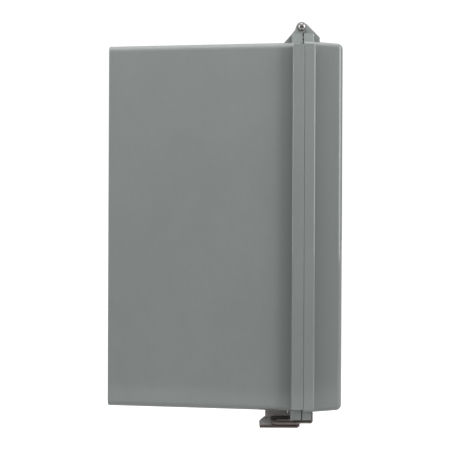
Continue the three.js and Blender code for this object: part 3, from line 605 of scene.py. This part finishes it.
WIRES = {
    "black": srgb(32, 32, 34),
    "red": srgb(178, 34, 30),
    "white": srgb(222, 221, 214),
    "green": srgb(36, 122, 62),
    "blue": srgb(40, 74, 156),
}
METALS = {  # colour, roughness, brush, line, depth, stain, metallic
    "stainless": (srgb(120, 112, 108), 0.45, (14, 1, 1), 0.35, 0.002, 0.2, 0.5),
    "polished": (srgb(156, 153, 151), 0.09, (1, 1, 1), 2.0, 0.0, 0.05),
    "zinc_steel": (srgb(205, 206, 200), 0.36, (1, 1, 8), 0.6),
    "copper": (srgb(222, 150, 118), 0.3, (1, 1, 10), 0.5, 0.002, 0.25),
    "lug_aluminium": (srgb(214, 216, 218), 0.38, (1, 1, 16), 0.5),
    "bare_steel": (srgb(168, 170, 172), 0.32, (10, 1, 1), 0.5),
}
MOULDINGS = {  # colour, roughness, grain, depth, contrast
    "panel_white": (srgb(222, 224, 220), 0.4, 0.7, 0.02, 0.015),
    "black_moulding": (srgb(42, 41, 44), 0.5, 0.8, 0.02, 0.12),
    "red_grip": (srgb(176, 34, 28), 0.36, 0.9, 0.02, 0.05),
    "controller_grey": (srgb(92, 97, 100), 0.52, 0.6, 0.03, 0.05),
    "light_plastic": (srgb(214, 213, 204), 0.35, 0.8, 0.01, 0.03),
    "fibre": (srgb(128, 58, 44), 0.6, 0.5, 0.02, 0.1),
}
for name, color in WIRES.items():
    MOULDINGS[f"wire_{name}"] = (color, 0.38, 2.0, 0.01, 0.04)
LOOKS = {
    "shell_grey": shell_look(),
    "gasket_rubber": rubber_look(),
    "shaded_stainless": hasp_look(),
    "circuit_board": board_look(),
    "display_black": display_look(),
    "coil_wrap": coil_look(),
    "braid": braid_look(),
    "led_green": lamp_look("led_green", srgb(60, 190, 90)),
    "led_amber": lamp_look("led_amber", srgb(235, 160, 40)),
}
LOOKS.update({name: metal(name, *numbers) for name, numbers in METALS.items()})
LOOKS.update({name: moulded(name, *numbers) for name, numbers in MOULDINGS.items()})


# ---- enclosure shells ----
QUARTERS = ((1, 1), (-1, 1), (-1, -1), (1, -1))


def ring(half_w, half_h, radius, y):
    """A rounded rectangle in the plane y."""
    shaped = []
    for i, (sx, sz) in enumerate(QUARTERS):
        centre = (sx * (half_w - radius), sz * (half_h - radius))
        shaped += [(x, y, z) for x, z in arc(centre, radius, 90 * i, 90 * i + 90, 10)]
    return shaped


def loft(rings):
    """Closed solid through rings of equal length, capped at both ends."""
    bm = bmesh.new()
    return skin([[bm.verts.new(point) for point in points] for points in rings], bm)


class Shell:
    """One drafted half of the enclosure: its rim plane, draft, corner radius and how much wider it is."""

    def __init__(self, rim, draft, corner, grow):
        self.rim, self.draft, self.corner, self.grow = rim, draft, corner, grow

    def ring(self, y, inset=0.0, spread=1):
        narrower = inset - self.grow + spread * self.draft * abs(y - self.rim)
        radius = max(self.corner - inset, 0.8)
        return ring(HALF_W - narrower, HALF_H - narrower, radius, y)

    def closing(self, end, inset, edge, steps):
        """Rings of a rounded edge that closes in on a flat face at `end`."""
        towards_rim = 1 if self.rim > end else -1
        angles = [math.pi / 2 * i / steps for i in range(steps + 1)]
        return [
            self.ring(end + towards_rim * edge * (1 - math.sin(a)), inset + edge * (1 - math.cos(a)))
            for a in angles
        ]

    def cavity(self, end):
        """What is cut out of the shell. It starts 6 mm beyond the rim."""
        beyond = self.rim + (-6 if self.rim < end else 6)
        return loft([self.ring(beyond, WALL, spread=-1), *self.closing(end, WALL, 2.5, 4)])


BODY = Shell(RIM, BODY_DRAFT, EDGE, 0.0)
COVER = Shell(COVER_RIM, COVER_DRAFT, CORNER, GROW)


def flange(front, back, front_radius, back_radius):
    """Tall and wide rectangles crossed, so that each corner is notched."""
    side, end = HALF_H - NOTCH, HALF_W - NOTCH
    out_x, out_z = HALF_W + FLANGE_OUT, HALF_H + FLANGE_OUT
    quarter = [(out_x, side), (end, side), (end, out_z)]
    points = []
    for sx, sz in QUARTERS:
        corner = [(sx * x, sz * z) for x, z in quarter]
        points += corner if sx * sz > 0 else corner[::-1]
    bm = extrude(points, "Y", (front, back))
    for plane, radius in ((front, front_radius), (back, back_radius)):
        rim = [e for e in bm.edges if all(abs(v.co.y - plane) < 0.01 for v in e.verts)]
        bmesh.ops.bevel(bm, geom=rim, offset=radius, segments=4, profile=0.5, affect="EDGES")
    return bm


# ---- hinge ears ----
def ear_spans():
    """The X spans of the outer body ear, the cover ear and the inner body ear, on the right."""
    outer = HALF_W - NOTCH
    spans = []
    for _ in range(3):
        spans.append((outer - EAR, outer))
        outer -= EAR + GAP
    return spans


def knuckle(span):
    return rod(KNUCKLE, "X", span, (PIN_Y, PIN_Z), 0.7, 40)


def ear_rib(span, face, points):
    """A rib from the shell's top wall up its face, then down through points measured from the pin."""
    floor = HALF_H - WALL / 2
    slope = [(PIN_Y + y, PIN_Z + z) for y, z in points]
    return extrude([(face, floor), (face, PIN_Z), *slope, (slope[-1][0], floor)], "X", span, 0.7)


def ear_plate(outer):
    """The outer ear's face, flush with the end of the flange: knuckle, slope and flange in one outline."""
    foot, back = HALF_H - NOTCH - 1, RIM + FLANGE
    (start_y, start_z), (end_y, end_z) = BODY_SLOPE
    fall = (start_z - end_z) / (end_y - start_y)
    top = PIN_Z + start_z - fall * (back - PIN_Y - start_y)
    outline = [(RIM, foot), *arc((PIN_Y, PIN_Z), KNUCKLE, 260, -12, 24), (back, top), (back, foot)]
    return extrude(outline, "X", (outer - SET_BACK - 1, outer), 0.6)


def pin_relief(span, radius):
    return rod(radius, "X", span, (PIN_Y, PIN_Z), 0, 40)


def both_sides(*parts):
    return [side for part in parts for side in (part, mirrored(part))]


BODY_SLOPE = [(4.2, 1.3), (22.5, HALF_H - PIN_Z)]
COVER_SLOPE = [(0, 0), (0, KNUCKLE), (-6.7, 6.8), (-24.4, -11.2)]


def side_lips(end):
    """What closes most of the seam at the right: down the side, in the outer ear and at the lower notch."""
    seam, side, out = (COVER_RIM + LIP_GAP, RIM + 1), HALF_H - NOTCH, HALF_W + FLANGE_OUT - LIP_INSET
    lip = block((out - LIP, out), seam, (0.5 - side, side - 0.5), 0.15)
    tongue = block((end - 4, end - LIP_INSET), seam, (side, HALF_H + 2.2), 0.2)
    heel = block((end - 7, end - 3), seam, (0.3 - HALF_H - FLANGE_OUT, -side), 0.2)
    return lip, tongue, heel


def end_lips(end, inner_ear):
    """The lips along the top, between the ears, and along the bottom."""
    seam, out = (COVER_RIM + LIP_GAP, RIM + 1), HALF_H + FLANGE_OUT - LIP_INSET
    half_top, half_bottom = inner_ear - 0.5, end - 8
    top = block((-half_top, half_top), seam, (out - LIP, out), 0.15)
    return top, block((-half_bottom, half_bottom), seam, (-out, LIP - out), 0.15)


def body_shell():
    first, second, third = ear_spans()
    outside = loft([*BODY.closing(0.0, 0.0, 1.0, 3)[::-1], BODY.ring(RIM)])
    solid = union(outside, flange(RIM, RIM + FLANGE, 0.3, 1.6))
    solid = cut(solid, *both_sides(pin_relief((second[0] - GAP, second[1] + GAP), 10.6)))
    ribs = [ear_rib((first[0], first[1] - SET_BACK), RIM, BODY_SLOPE), ear_rib(third, RIM, BODY_SLOPE)]
    ears = [*ribs, knuckle(first), knuckle(third), ear_plate(first[1])]
    solid = union(solid, *both_sides(*ears, *side_lips(first[1])), *end_lips(first[1], third[0]))
    bores = both_sides(rod(PIN + GAP, "X", (third[0] - 8, first[1] + 8), (PIN_Y, PIN_Z)))
    solid = cut(solid, BODY.cavity(-WALL), *bores)
    bosses, holes = [], []
    for sx, sz in QUARTERS:
        boss, hole = ((sx * x, sz * z) for x, z in (PANEL_SCREW, WALL_HOLE))
        bosses.append(rod(9, "Y", (-13, -4), boss, 0.6))
        holes += [rod(3, "Y", (-14, -5.5), boss), rod(4, "Y", (-6, 1), hole)]
    solid = cut(union(solid, *bosses), *holes)
    show(solid, "body_shell_moulding", "shell_grey", "enclosure", ["body_shell"])


def cover_shell():
    first, second, third = ear_spans()
    outside = loft([COVER.ring(COVER_RIM), *COVER.closing(FRONT, 0.0, COVER_EDGE, 8)])
    solid = union(outside, flange(COVER_RIM - FLANGE, COVER_RIM, 2.6, 0.25))
    solid = union(solid, *both_sides(ear_rib(second, COVER_RIM, COVER_SLOPE), knuckle(second)))
    spans = ((first[0] - GAP, first[1] + 2), (third[0] - GAP, third[1] + GAP))
    reliefs = [pin_relief(span, KNUCKLE + 0.6) for span in spans]
    bore = rod(PIN + GAP, "X", (third[0] - 8, first[1] + 8), (PIN_Y, PIN_Z))
    recess = block(
        (NOTCH - HALF_W - 1, STRAP_X[1] + GAP),
        (COVER_RIM - FLANGE - 1, COVER_RIM - FLANGE + STRAP + GAP),
        (-HALF_H - FLANGE_OUT - 1, STRAP_UPPER_END + GAP),
    )
    solid = cut(solid, COVER.cavity(FRONT + WALL), recess, *both_sides(*reliefs, bore))
    show(solid, "cover_shell_moulding", "shell_grey", "cover", ["cover_shell"])


body_shell()
cover_shell()


# ---- hinge pins and hasp ----
def hinge_pins():
    """Pins with a near-hemispherical polished head, spread into a collar at the inner end."""
    inner, tip = box("hinge_pin_right")[0]
    head, flat, dome = 5.5, 0.8, 4.4
    outer = tip - flat - dome
    profile = [(0, inner), (PIN + 1.2, inner), (PIN + 1.6, inner + 0.4), (PIN + 1.6, inner + 2.5)]
    profile += [(PIN, inner + 2.5), (PIN, outer), (head - 0.3, outer), (head, outer + 0.3)]
    angles = [math.pi / 2 * i / 14 for i in range(15)]
    profile += [(head * math.cos(a), outer + flat + dome * math.sin(a)) for a in angles[:-1]]
    for side in ("right", "left"):
        pin = lathe([*profile, (0, tip)], "X", (0, PIN_Y, PIN_Z), 48)
        if side == "left":
            pin = mirrored(pin)
        show(pin, f"hinge_pin_{side}_polished", "polished", "enclosure", [f"hinge_pin_{side}"])


def hasp_outline(points, radius=2.0):
    return rounded([(HASP_NEAR + across, SEAM + behind) for across, behind in points], radius)


def hasp_slot():
    half, near, far = 6.5, SEAM + 11, SEAM + 32.5
    x = HASP_NEAR + 13.5
    outline = arc((x, far - half), half, 0, 180, 12) + arc((x, near + half), half, 180, 360, 12)
    return extrude(outline, "Z", (BRACKET_TOP - 10, STRAP_TOP + 5))


def hasp_bracket():
    """The slotted plate, its web and the foot that two screws hold up against the body."""
    far = HASP_NEAR + HASP_WIDTH
    shape = [(0, 6.2), (0, 54.5), (27.5, 54), (HASP_WIDTH, 46), (HASP_WIDTH, 2.3), (6.4, 2.3)]
    plate = extrude(hasp_outline(shape, 1.2), "Z", (BRACKET_TOP - BRACKET, BRACKET_TOP))
    level, foot = BRACKET_TOP - BRACKET / 2, -HALF_H - GAP - BRACKET / 2
    web_x = far - BRACKET / 2
    path = [(web_x - 16, level), (web_x, level), (web_x, foot), (far + 34, foot)]
    web = sheet(path, 2.4, BRACKET, "Y", (RIM + FLANGE + GAP, SEAM + 45))
    under_flange = (level, -HALF_H - FLANGE_OUT - GAP)
    lower_web = block((far - BRACKET, far), (SEAM + 3, SEAM + 44), under_flange)
    holes = []
    for i in (1, 2):
        x, y, z = box(f"hasp_screw_{i}")
        centre = (middle(x), middle(y))
        holes.append(rod(3, "Z", (foot - 4, foot + 4), centre))
        head = rod(5, "Z", (z[0], z[0] + 3.2), centre, 0.8)
        head = cut(head, rod(2.4, "Z", (z[0] - 1, z[0] + 1.8), centre, 0, 6))
        shank = rod(2.6, "Z", (z[0] + 2.5, z[1]), centre, 0.3)
        show(union(head, shank), f"hasp_screw_{i}_hex", "bare_steel", "enclosure", [f"hasp_screw_{i}"])
    bracket = round_edges(cut(union(plate, web, lower_web), hasp_slot(), *holes), 0.3)
    show(bracket, "hasp_bracket_bent", "shaded_stainless", "enclosure", ["body_hasp_bracket"])


def hasp_strap():
    """The slotted strap. It bends up into the recess in the cover's flange, and two flush rivets hold it."""
    shape = [(0.8, 6.2), (0.8, 34.5), (5, 38.5), (35, 38.5), (40, 33.5), (40, 13), (31, 3), (6.4, 1)]
    plate = extrude(hasp_outline(shape), "Z", (STRAP_TOP - STRAP, STRAP_TOP))
    level, front = STRAP_TOP - STRAP / 2, COVER_RIM - FLANGE + STRAP / 2
    hook = sheet([(SEAM + 3.5, level), (front, level), (front, STRAP_UPPER_END)], 2.6, STRAP, "X", STRAP_X)
    holes = []
    for i in (1, 2):
        x, y, z = box(f"strap_rivet_{i}")
        centre = (middle(x), middle(z))
        holes += [rod(2.3, "Y", (y[0] - 1, y[0] + 8), centre), rod(4.3, "Y", (y[0] - 1, y[0] + 1.3), centre)]
        head = rod(4, "Y", (y[0], y[0] + 1), centre, 0.35)
        rivet = union(head, rod(2, "Y", (y[0] + 0.5, y[1]), centre, 0.2))
        rivet = cut(rivet, rod(0.9, "Y", (y[0] - 1, y[0] + 0.4), centre))
        show(rivet, f"strap_rivet_{i}_flat", "bare_steel", "cover", [f"strap_rivet_{i}"])
    strap = round_edges(cut(union(plate, hook), hasp_slot(), *holes), 0.3)
    show(strap, "hasp_strap_bent", "stainless", "cover", ["cover_hasp_strap"])


hinge_pins()
hasp_bracket()
hasp_strap()


# ---- transfer switch ----
def coils():
    """Taped windings on moulded bobbins, each with two blade terminals at the front."""
    bore = box("plunger")[0]
    bore = (bore[1] - bore[0]) / 2 + 0.6
    for name in ("utility_coil", "generator_coil"):
        x, y, z = box(name)
        centre, wall, turns, radius = (middle(x), middle(y)), 3.0, 11, 16.6
        low, high = z[0] + wall - 0.5, z[1] - wall + 0.5
        top, front = (z[1] - 2, z[1] - 1.2), (y[0] - 6, y[0] + 2)
        steps = turns * 6
        heights = [high - (high - low) * i / steps for i in range(steps + 1)]
        swell = [radius + 0.5 * abs(math.sin(math.pi * i / 6)) for i in range(steps + 1)]
        profile = [(bore + 1.2, low), (bore + 1.2, high), *zip(swell, heights)]
        winding = lathe(profile, "Z", (*centre, 0), 40, True)
        show(winding, f"{name}_winding", "coil_wrap", "enclosure", [name], angle=60)
        parts = [tube(bore + 1.4, bore, "Z", (z[0] + 1, z[1] - 1), centre)]
        for span in ((z[0], z[0] + wall), (z[1] - wall, z[1])):
            parts.append(cut(block(x, y, span, 0.6), rod(bore, "Z", (z[0] - 1, z[1] + 1), centre)))
        fitting(f"{name}_bobbin", "black_moulding", *parts)
        blades = [block((a - 2.4, a + 2.4), front, top, 0.2) for a in (x[0] + 8, x[1] - 8)]
        fitting(f"{name}_blades", "zinc_steel", *blades)


def lugs():
    """Aluminium lugs with a hexagon-socket set screw in the front of each."""
    for kind in ("utility_lug", "generator_lug", "load_lug"):
        for pole in ("L1", "L2"):
            x, y, z = box(f"{kind}_{pole}")
            across, level, depth = middle(x), middle(z), middle(y)
            wire_hole = rod(9, "Z", (z[0] - 1, z[1] + 1), (across, depth))
            thread = rod(6, "Y", (y[0] - 1, depth), (across, level))
            lug = cut(block(x, y, z, 1.4, 3), wire_hole, thread)
            bolt = rod(5.7, "Y", (y[0] + 0.8, depth - 3), (across, level), 0.5)
            bolt = cut(bolt, rod(3.1, "Y", (y[0] - 1, y[0] + 6), (across, level), 0, 6))
            name = f"{kind}_{pole}"
            show(lug, f"{name}_block", "lug_aluminium", "enclosure", [name])
            fitting(f"{name}_set_screw", "bare_steel", bolt)


def arc_chutes():
    """Notched steel plates between fibre cheeks."""
    for pole in ("L1", "L2"):
        name = f"arc_chute_{pole}"
        x, y, z = box(name)
        cheeks = [block(span, y, z, 0.5) for span in ((x[0], x[0] + 3), (x[1] - 3, x[1]))]
        fitting(f"{name}_cheeks", "fibre", *cheeks, slot="black_moulding")
        count, across = 11, middle(x)
        left, right, front, back = x[0] + 1, x[1] - 1, y[0] + 1, y[1] - 1
        outline = [(left, front), (right, front), (right, back), (across + 12, back)]
        outline += [(across, back - 11), (across - 12, back), (left, back)]
        levels = [z[0] + 4 + (z[1] - z[0] - 8) * i / (count - 1) for i in range(count)]
        plates = [extrude(outline, "Z", (level - 0.8, level + 0.8), 0.15, 1) for level in levels]
        show(merged(*plates), f"{name}_plates", "zinc_steel", "enclosure", [name])


def braids():
    """Woven straps from the load bars to the moving arms."""
    shaft = box("rotor_shaft")
    axis_y, axis_z = middle(shaft[1]), middle(shaft[2])
    for pole in ("L1", "L2"):
        bar_x, bar_y, _ = box(f"load_bar_{pole}")
        start_x, end_x = middle(bar_x), middle(box(f"contact_arm_{pole}")[0])
        front = bar_y[0] - 2.2
        path = [(start_x, front, axis_z - 6), (start_x, front - 2, axis_z - 30)]
        path += [((start_x * 2 + end_x) / 3, axis_y + 26, axis_z - 52), (end_x, axis_y - 6, axis_z - 54)]
        path += [(end_x, axis_y - 20, axis_z - 30), (end_x, axis_y - 24, axis_z - 14)]
        strap = wire(path, 1.9, 14, 26, 2.9)
        piece = show(strap, f"braid_{pole}", "braid", None, [f"flex_connection_{pole}"], angle=60)
        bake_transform(piece)


# ---- controls ----
def terminal_block():
    """Ten ways between barriers, each with a clamp plate and screw at the top and the bottom."""
    x, y, z = box("terminal_block")
    floor, ways = y[0] + 10, 10
    pitch = (x[1] - x[0] - 1.8) / ways
    ridge = block(x, (y[0] + 2, floor + 1), (middle(z) - 1.5, middle(z) + 1.5), 0.4)
    body = [block(x, (floor, y[1]), z, 0.8), ridge]
    for i in range(ways + 1):
        edge = x[0] + pitch * i
        body.append(block((edge, edge + 1.8), (y[0], floor + 1), z, 0.5))
    show(merged(*body), "terminal_block_body", "black_moulding", "enclosure", ["terminal_block"])
    clamps = []
    for i in range(ways):
        across = x[0] + 0.9 + pitch * (i + 0.5)
        for level in (z[0] + 6, z[1] - 6):
            plate = block((across - 3.2, across + 3.2), (floor - 1.2, floor), (level - 4, level + 4), 0.3)
            clamps += [plate, screw(across, level, floor - 1.2, 2.8, "slot")]
    fitting("terminal_screws", "zinc_steel", *clamps)


def breaker():
    """Two moulded poles side by side, with a slot for the toggle and a screw at each end of each pole."""
    x, y, z = box("control_breaker")
    shoulder, nose, width = y[0] + 12, 13, (x[1] - x[0]) / 2
    outline = [(y[1], z[0]), (y[1], z[1]), (shoulder, z[1]), (shoulder, z[1] - nose), (y[0], z[1] - nose)]
    outline += [(y[0], z[0] + nose), (shoulder, z[0] + nose), (shoulder, z[0])]
    opening = ((x[0] + 9, x[1] - 9), (y[0] - 1, y[0] + 16), (middle(z) - 11, middle(z) + 11))
    poles, screws = [], []
    for i in range(2):
        left = x[0] + width * i
        pole = extrude(outline, "X", (left + 0.1, left + width - 0.1), 0.9, 3)
        poles.append(cut(pole, block(*opening)))
        for level in (z[0] + 6.5, z[1] - 6.5):
            screws.append(screw(left + width / 2, level, shoulder, 3.4))
    show(merged(*poles), "control_breaker_poles", "black_moulding", "enclosure", ["control_breaker"])
    fitting("control_breaker_screws", "zinc_steel", *screws)


def controller_details():
    """A bezel round the display, a collar round each button, four lamps and the lid's corner screws."""
    x, y, z = box("controller_cover")
    face, inset, border = y[0], 3.0, 4.0
    screen_x, _, screen_z = box("display_screen")
    inner = [(low + inset, high - inset) for low, high in (screen_x, screen_z)]
    outer = [(low - border, high + border) for low, high in inner]
    opening = block(inner[0], (face - 4, face + 2), inner[1])
    trim = [cut(block(outer[0], (face - 2, face + 0.5), outer[1], 0.8), opening)]
    for name in ("test_button", "return_button"):
        across, _, level = (middle(span) for span in box(name))
        trim.append(tube(10.5, 7.6, "Y", (face - 1.8, face + 0.4), (across, level), 0.5))
    lamps = [middle(screen_z) + 6 * step for step in (3, 1, -1, -3)]
    lamp_x = screen_x[1] + 16
    trim += [tube(3.4, 2.3, "Y", (face - 1, face + 0.4), (lamp_x, level)) for level in lamps]
    fitting("controller_trim", "black_moulding", *trim)
    for name, levels in (("led_green", lamps[:2]), ("led_amber", lamps[2:])):
        domes = [rod(2.2, "Y", (face - 2, face + 1), (lamp_x, level), 1.0, 20) for level in levels]
        fitting(f"controller_{name}", name, *domes, slot="light_plastic")
    corners = [(a, b) for a in (x[0] + 8, x[1] - 8) for b in (z[0] + 8, z[1] - 8)]
    fitting("controller_screws", "zinc_steel", *[screw(a, b, face, 3) for a, b in corners])


def bar_screws():
    """Set screws in the neutral and ground bars."""
    for name, count, radius in (("neutral_bar", 7, 3.1), ("ground_bar", 8, 1.9)):
        x, y, z = box(name)
        pitch = (z[1] - z[0]) / count
        levels = [z[0] + pitch * (i + 0.5) for i in range(count)]
        screws = [screw(middle(x), level, y[0] + 0.4, radius, "slot") for level in levels]
        fitting(f"{name}_screws", "zinc_steel", *screws)


def wiring():
    """Control wires, laid close to the panel and brought up to each terminal."""
    block_x, block_y, block_z = box("terminal_block")
    tray_x, _, tray_z = box("controller_tray")
    pitch = (block_x[1] - block_x[0] - 1.8) / 10
    ways = [block_x[0] + 0.9 + pitch * (i + 0.5) for i in range(10)]
    lay, clamp = -19.0, block_y[0] + 9.5
    entry = middle(tray_x) + 4
    runs = {name: [] for name in WIRES}

    def from_block(way, level, *rest):
        across, below = ways[way], block_z[0] - 6
        down = [(across, clamp, block_z[0] + 3), (across, clamp + 2, below), (across, lay, below - 4)]
        return [*down, (across, lay, level), *rest]

    def into_tray(across):
        return (across, lay - 12, tray_z[0] - 3), (across, lay - 12, tray_z[0] + 12)

    for i, name in enumerate(("red", "black", "white", "blue", "red")):
        level, across = block_z[0] - 16 - 2.8 * i, entry - 10 + 4 * i
        runs[name].append(from_block(i, level, (across, lay, level), *into_tray(across)))
    colors = iter(("black", "blue", "black", "red"))
    for coil, first_way in (("generator_coil", 6), ("utility_coil", 8)):
        x, y, z = box(coil)
        for i, blade in enumerate((x[0] + 8, x[1] - 8)):
            way, level, front = first_way + i, block_z[0] - 12 - 3 * i, y[0] - 7
            lane = block_x[1] - 20 + 3 * (way - 6)
            down = [(lane, lay, level), (lane, lay, z[1] + 8), (lane, front, z[1] + 8)]
            tip = [(blade, front, z[1] + 6), (blade, front + 2.5, z[1] - 1)]
            runs[next(colors)].append(from_block(way, level, *down, *tip))
    breaker_x, breaker_y, breaker_z = box("control_breaker")
    width, top = (breaker_x[1] - breaker_x[0]) / 2, block_z[1]
    for i, name in enumerate(("black", "red")):
        across, way = breaker_x[0] + width * (i + 0.5), ways[1 + 2 * i]
        path = [(way, clamp, top - 3), (way, clamp - 1, top + 5), (across, clamp - 4, top + 7)]
        runs[name].append([*path, (across, breaker_y[0] + 20, breaker_z[0] + 2)])
    x, y, z = box("position_switch")
    for i, name in enumerate(("blue", "white")):
        lane, across = box("side_plate_left")[0][0] - 8 - 4 * i, entry - 22 - 4 * i
        level = tray_z[0] - 12 - 3 * i
        start = [(middle(x) - 3 + 6 * i, y[1] - 2, middle(z)), (lane, y[1] + 14, z[1] + 10)]
        rise = [(lane, lay, z[1] + 26), (lane, lay, level), (across, lay, level)]
        runs[name].append([*start, *rise, *into_tray(across)])
    x, y, z = box("ground_bar")
    panel_front, screw_x = box("mounting_panel")[1][0], x[0] - 12
    fitting("bonding_screw", "zinc_steel", screw(screw_x, z[0] - 18, panel_front, 4.5))
    path = [(screw_x, panel_front - 1.5, z[0] - 17), (screw_x, lay - 2, z[0] - 6)]
    runs["green"].append([*path, (x[0] - 4, middle(y), z[0] + 6), (x[0] + 1, middle(y), z[0] + 6)])
    for name, paths in runs.items():
        wires = [wire(path) for path in paths]
        fitting(f"wires_{name}", f"wire_{name}", *wires, slot="black_moulding", angle=60)


coils()
lugs()
arc_chutes()
braids()
terminal_block()
breaker()
controller_details()
bar_screws()
wiring()


# ---- carried-over CAD nodes ----
def finish_node(name, node):
    """A carried-over CAD node gets its procedural material and softened edges."""
    node.data.materials.clear()
    node.data.materials.append(LOOKS[SLOTS[name]])
    node.data.shade_smooth()
    soft = {"width": 0.3 * MM, "segments": 2, "limit_method": "ANGLE", "angle_limit": math.radians(38)}
    modify(node, "weld", "WELD", merge_threshold=0.005 * MM)
    modify(node, "flat_faces", "DECIMATE", decimate_type="DISSOLVE", angle_limit=math.radians(0.6))
    modify(node, "soft_edges", "BEVEL", **soft, use_clamp_overlap=True)
    modify(node, "weighted_normals", "WEIGHTED_NORMAL", keep_sharp=True)


for name, node in frame["nodes"].items():
    if not node.hide_render:
        finish_node(name, node)


# ---- floor, lights and camera ----
FLOOR = -0.62  # its height in metres
FLOOR_NEAR, FLOOR_FAR, FLOOR_SIDE = -2.14, 30.0, 20.0
FLOOR_LIFT, FLOOR_GLOW = 0.8, 0.3  # its glow to the camera and in reflections
BASE_LIGHT, TOP_LIGHT = 0.15, 0.75  # the world at eye level, and what is added overhead
WHITE = 1.05  # the world to the camera
CAMERA = (-1.208, -0.1508, 0.0019)
LENS, ROLL = 62.3, 0.25
MIDDLE = (-0.2, -0.15, 0.0)  # what the lights point at


def make_floor():
    """A pale floor that ends 2 m to the left of the box. It's lit up to the camera and in reflections."""
    bpy.ops.mesh.primitive_plane_add(size=1)
    floor = bpy.context.object
    floor.name = "floor"
    corners = [(x, y, FLOOR) for y in (-FLOOR_SIDE, FLOOR_SIDE) for x in (FLOOR_NEAR, FLOOR_FAR)]
    for vert, corner in zip(floor.data.vertices, corners):
        vert.co = corner
    look = Look("pale_floor", 0.9)
    look.color(look.blend(look.noise(600, 3), (0.42, 0.42, 0.42), (0.47, 0.47, 0.47)))
    ray = look.node("ShaderNodeLightPath").outputs
    reflected = look.multiply(ray["Is Glossy Ray"], FLOOR_GLOW)
    glow = look.math("MULTIPLY_ADD", ray["Is Camera Ray"], FLOOR_LIFT, reflected)
    look.feed(look.bsdf.inputs["Emission Color"], (1, 1, 1, 1))
    look.feed(look.bsdf.inputs["Emission Strength"], glow)
    floor.data.materials.append(look.material)


def area_light(name, location, target, size, power, mirrored_in_metal=True):
    light = bpy.data.lights.new(name, "AREA")
    light.shape = "RECTANGLE"
    light.size, light.size_y = size
    light.energy = power
    lamp = bpy.data.objects.new(name, light)
    lamp.location = location
    lamp.visible_glossy = mirrored_in_metal
    lamp.rotation_euler = (Vector(target) - Vector(location)).to_track_quat("-Z", "Y").to_euler()
    bpy.context.scene.collection.objects.link(lamp)


def make_world():
    """White to the camera. As a light it is dim at eye level and brighter overhead."""
    world = bpy.data.worlds.new("studio")
    bpy.context.scene.world = world
    nodes = Nodes(world, "Generated")
    overhead = nodes.math("MAXIMUM", nodes.along("Z"), 0.0)
    soft, out = (nodes.tree.nodes[name] for name in ("Background", "World Output"))
    nodes.feed(soft.inputs["Color"], (1, 1, 1, 1))
    nodes.feed(soft.inputs["Strength"], nodes.math("MULTIPLY_ADD", overhead, TOP_LIGHT, BASE_LIGHT))
    white = nodes.node("ShaderNodeBackground", Color=(1, 1, 1, 1), Strength=WHITE)
    seen = nodes.node("ShaderNodeLightPath").outputs["Is Camera Ray"]
    mix = nodes.node("ShaderNodeMixShader", Fac=seen)
    nodes.feed(mix.inputs[1], soft.outputs[0])
    nodes.feed(mix.inputs[2], white.outputs[0])
    nodes.feed(out.inputs[0], mix.outputs[0])


def make_camera():
    """A long lens, level with the box's middle and square to its left side."""
    camera = bpy.data.cameras.new("camera")
    camera.sensor_width = 36
    camera.lens = LENS
    camera.clip_end = 50
    rig = bpy.data.objects.new("camera", camera)
    facing = Matrix.Rotation(math.radians(-90), 4, "Z") @ Matrix.Rotation(math.radians(90), 4, "X")
    rig.matrix_world = Matrix.Translation(CAMERA) @ facing @ Matrix.Rotation(math.radians(ROLL), 4, "Z")
    bpy.context.scene.collection.objects.link(rig)
    bpy.context.scene.camera = rig


make_floor()
make_world()
area_light("front_softbox", (-0.95, -1.9, 0.75), MIDDLE, (1.3, 1.9), 32)
area_light("back_softbox", (-0.95, 1.6, 0.75), MIDDLE, (1.3, 1.9), 24)
area_light("overhead", (-0.4, -0.15, 1.8), MIDDLE, (1.2, 1.6), 8)
area_light("near_top", (-0.75, -0.15, 0.95), (-0.2, -0.15, 0.2), (0.5, 0.5), 3.1, False)
area_light("right_fill", (1.5, -1.0, 0.7), (0.2, -0.15, 0.0), (1.3, 1.6), 15, False)
make_camera()
bpy.context.scene.view_settings.view_transform = "Standard"
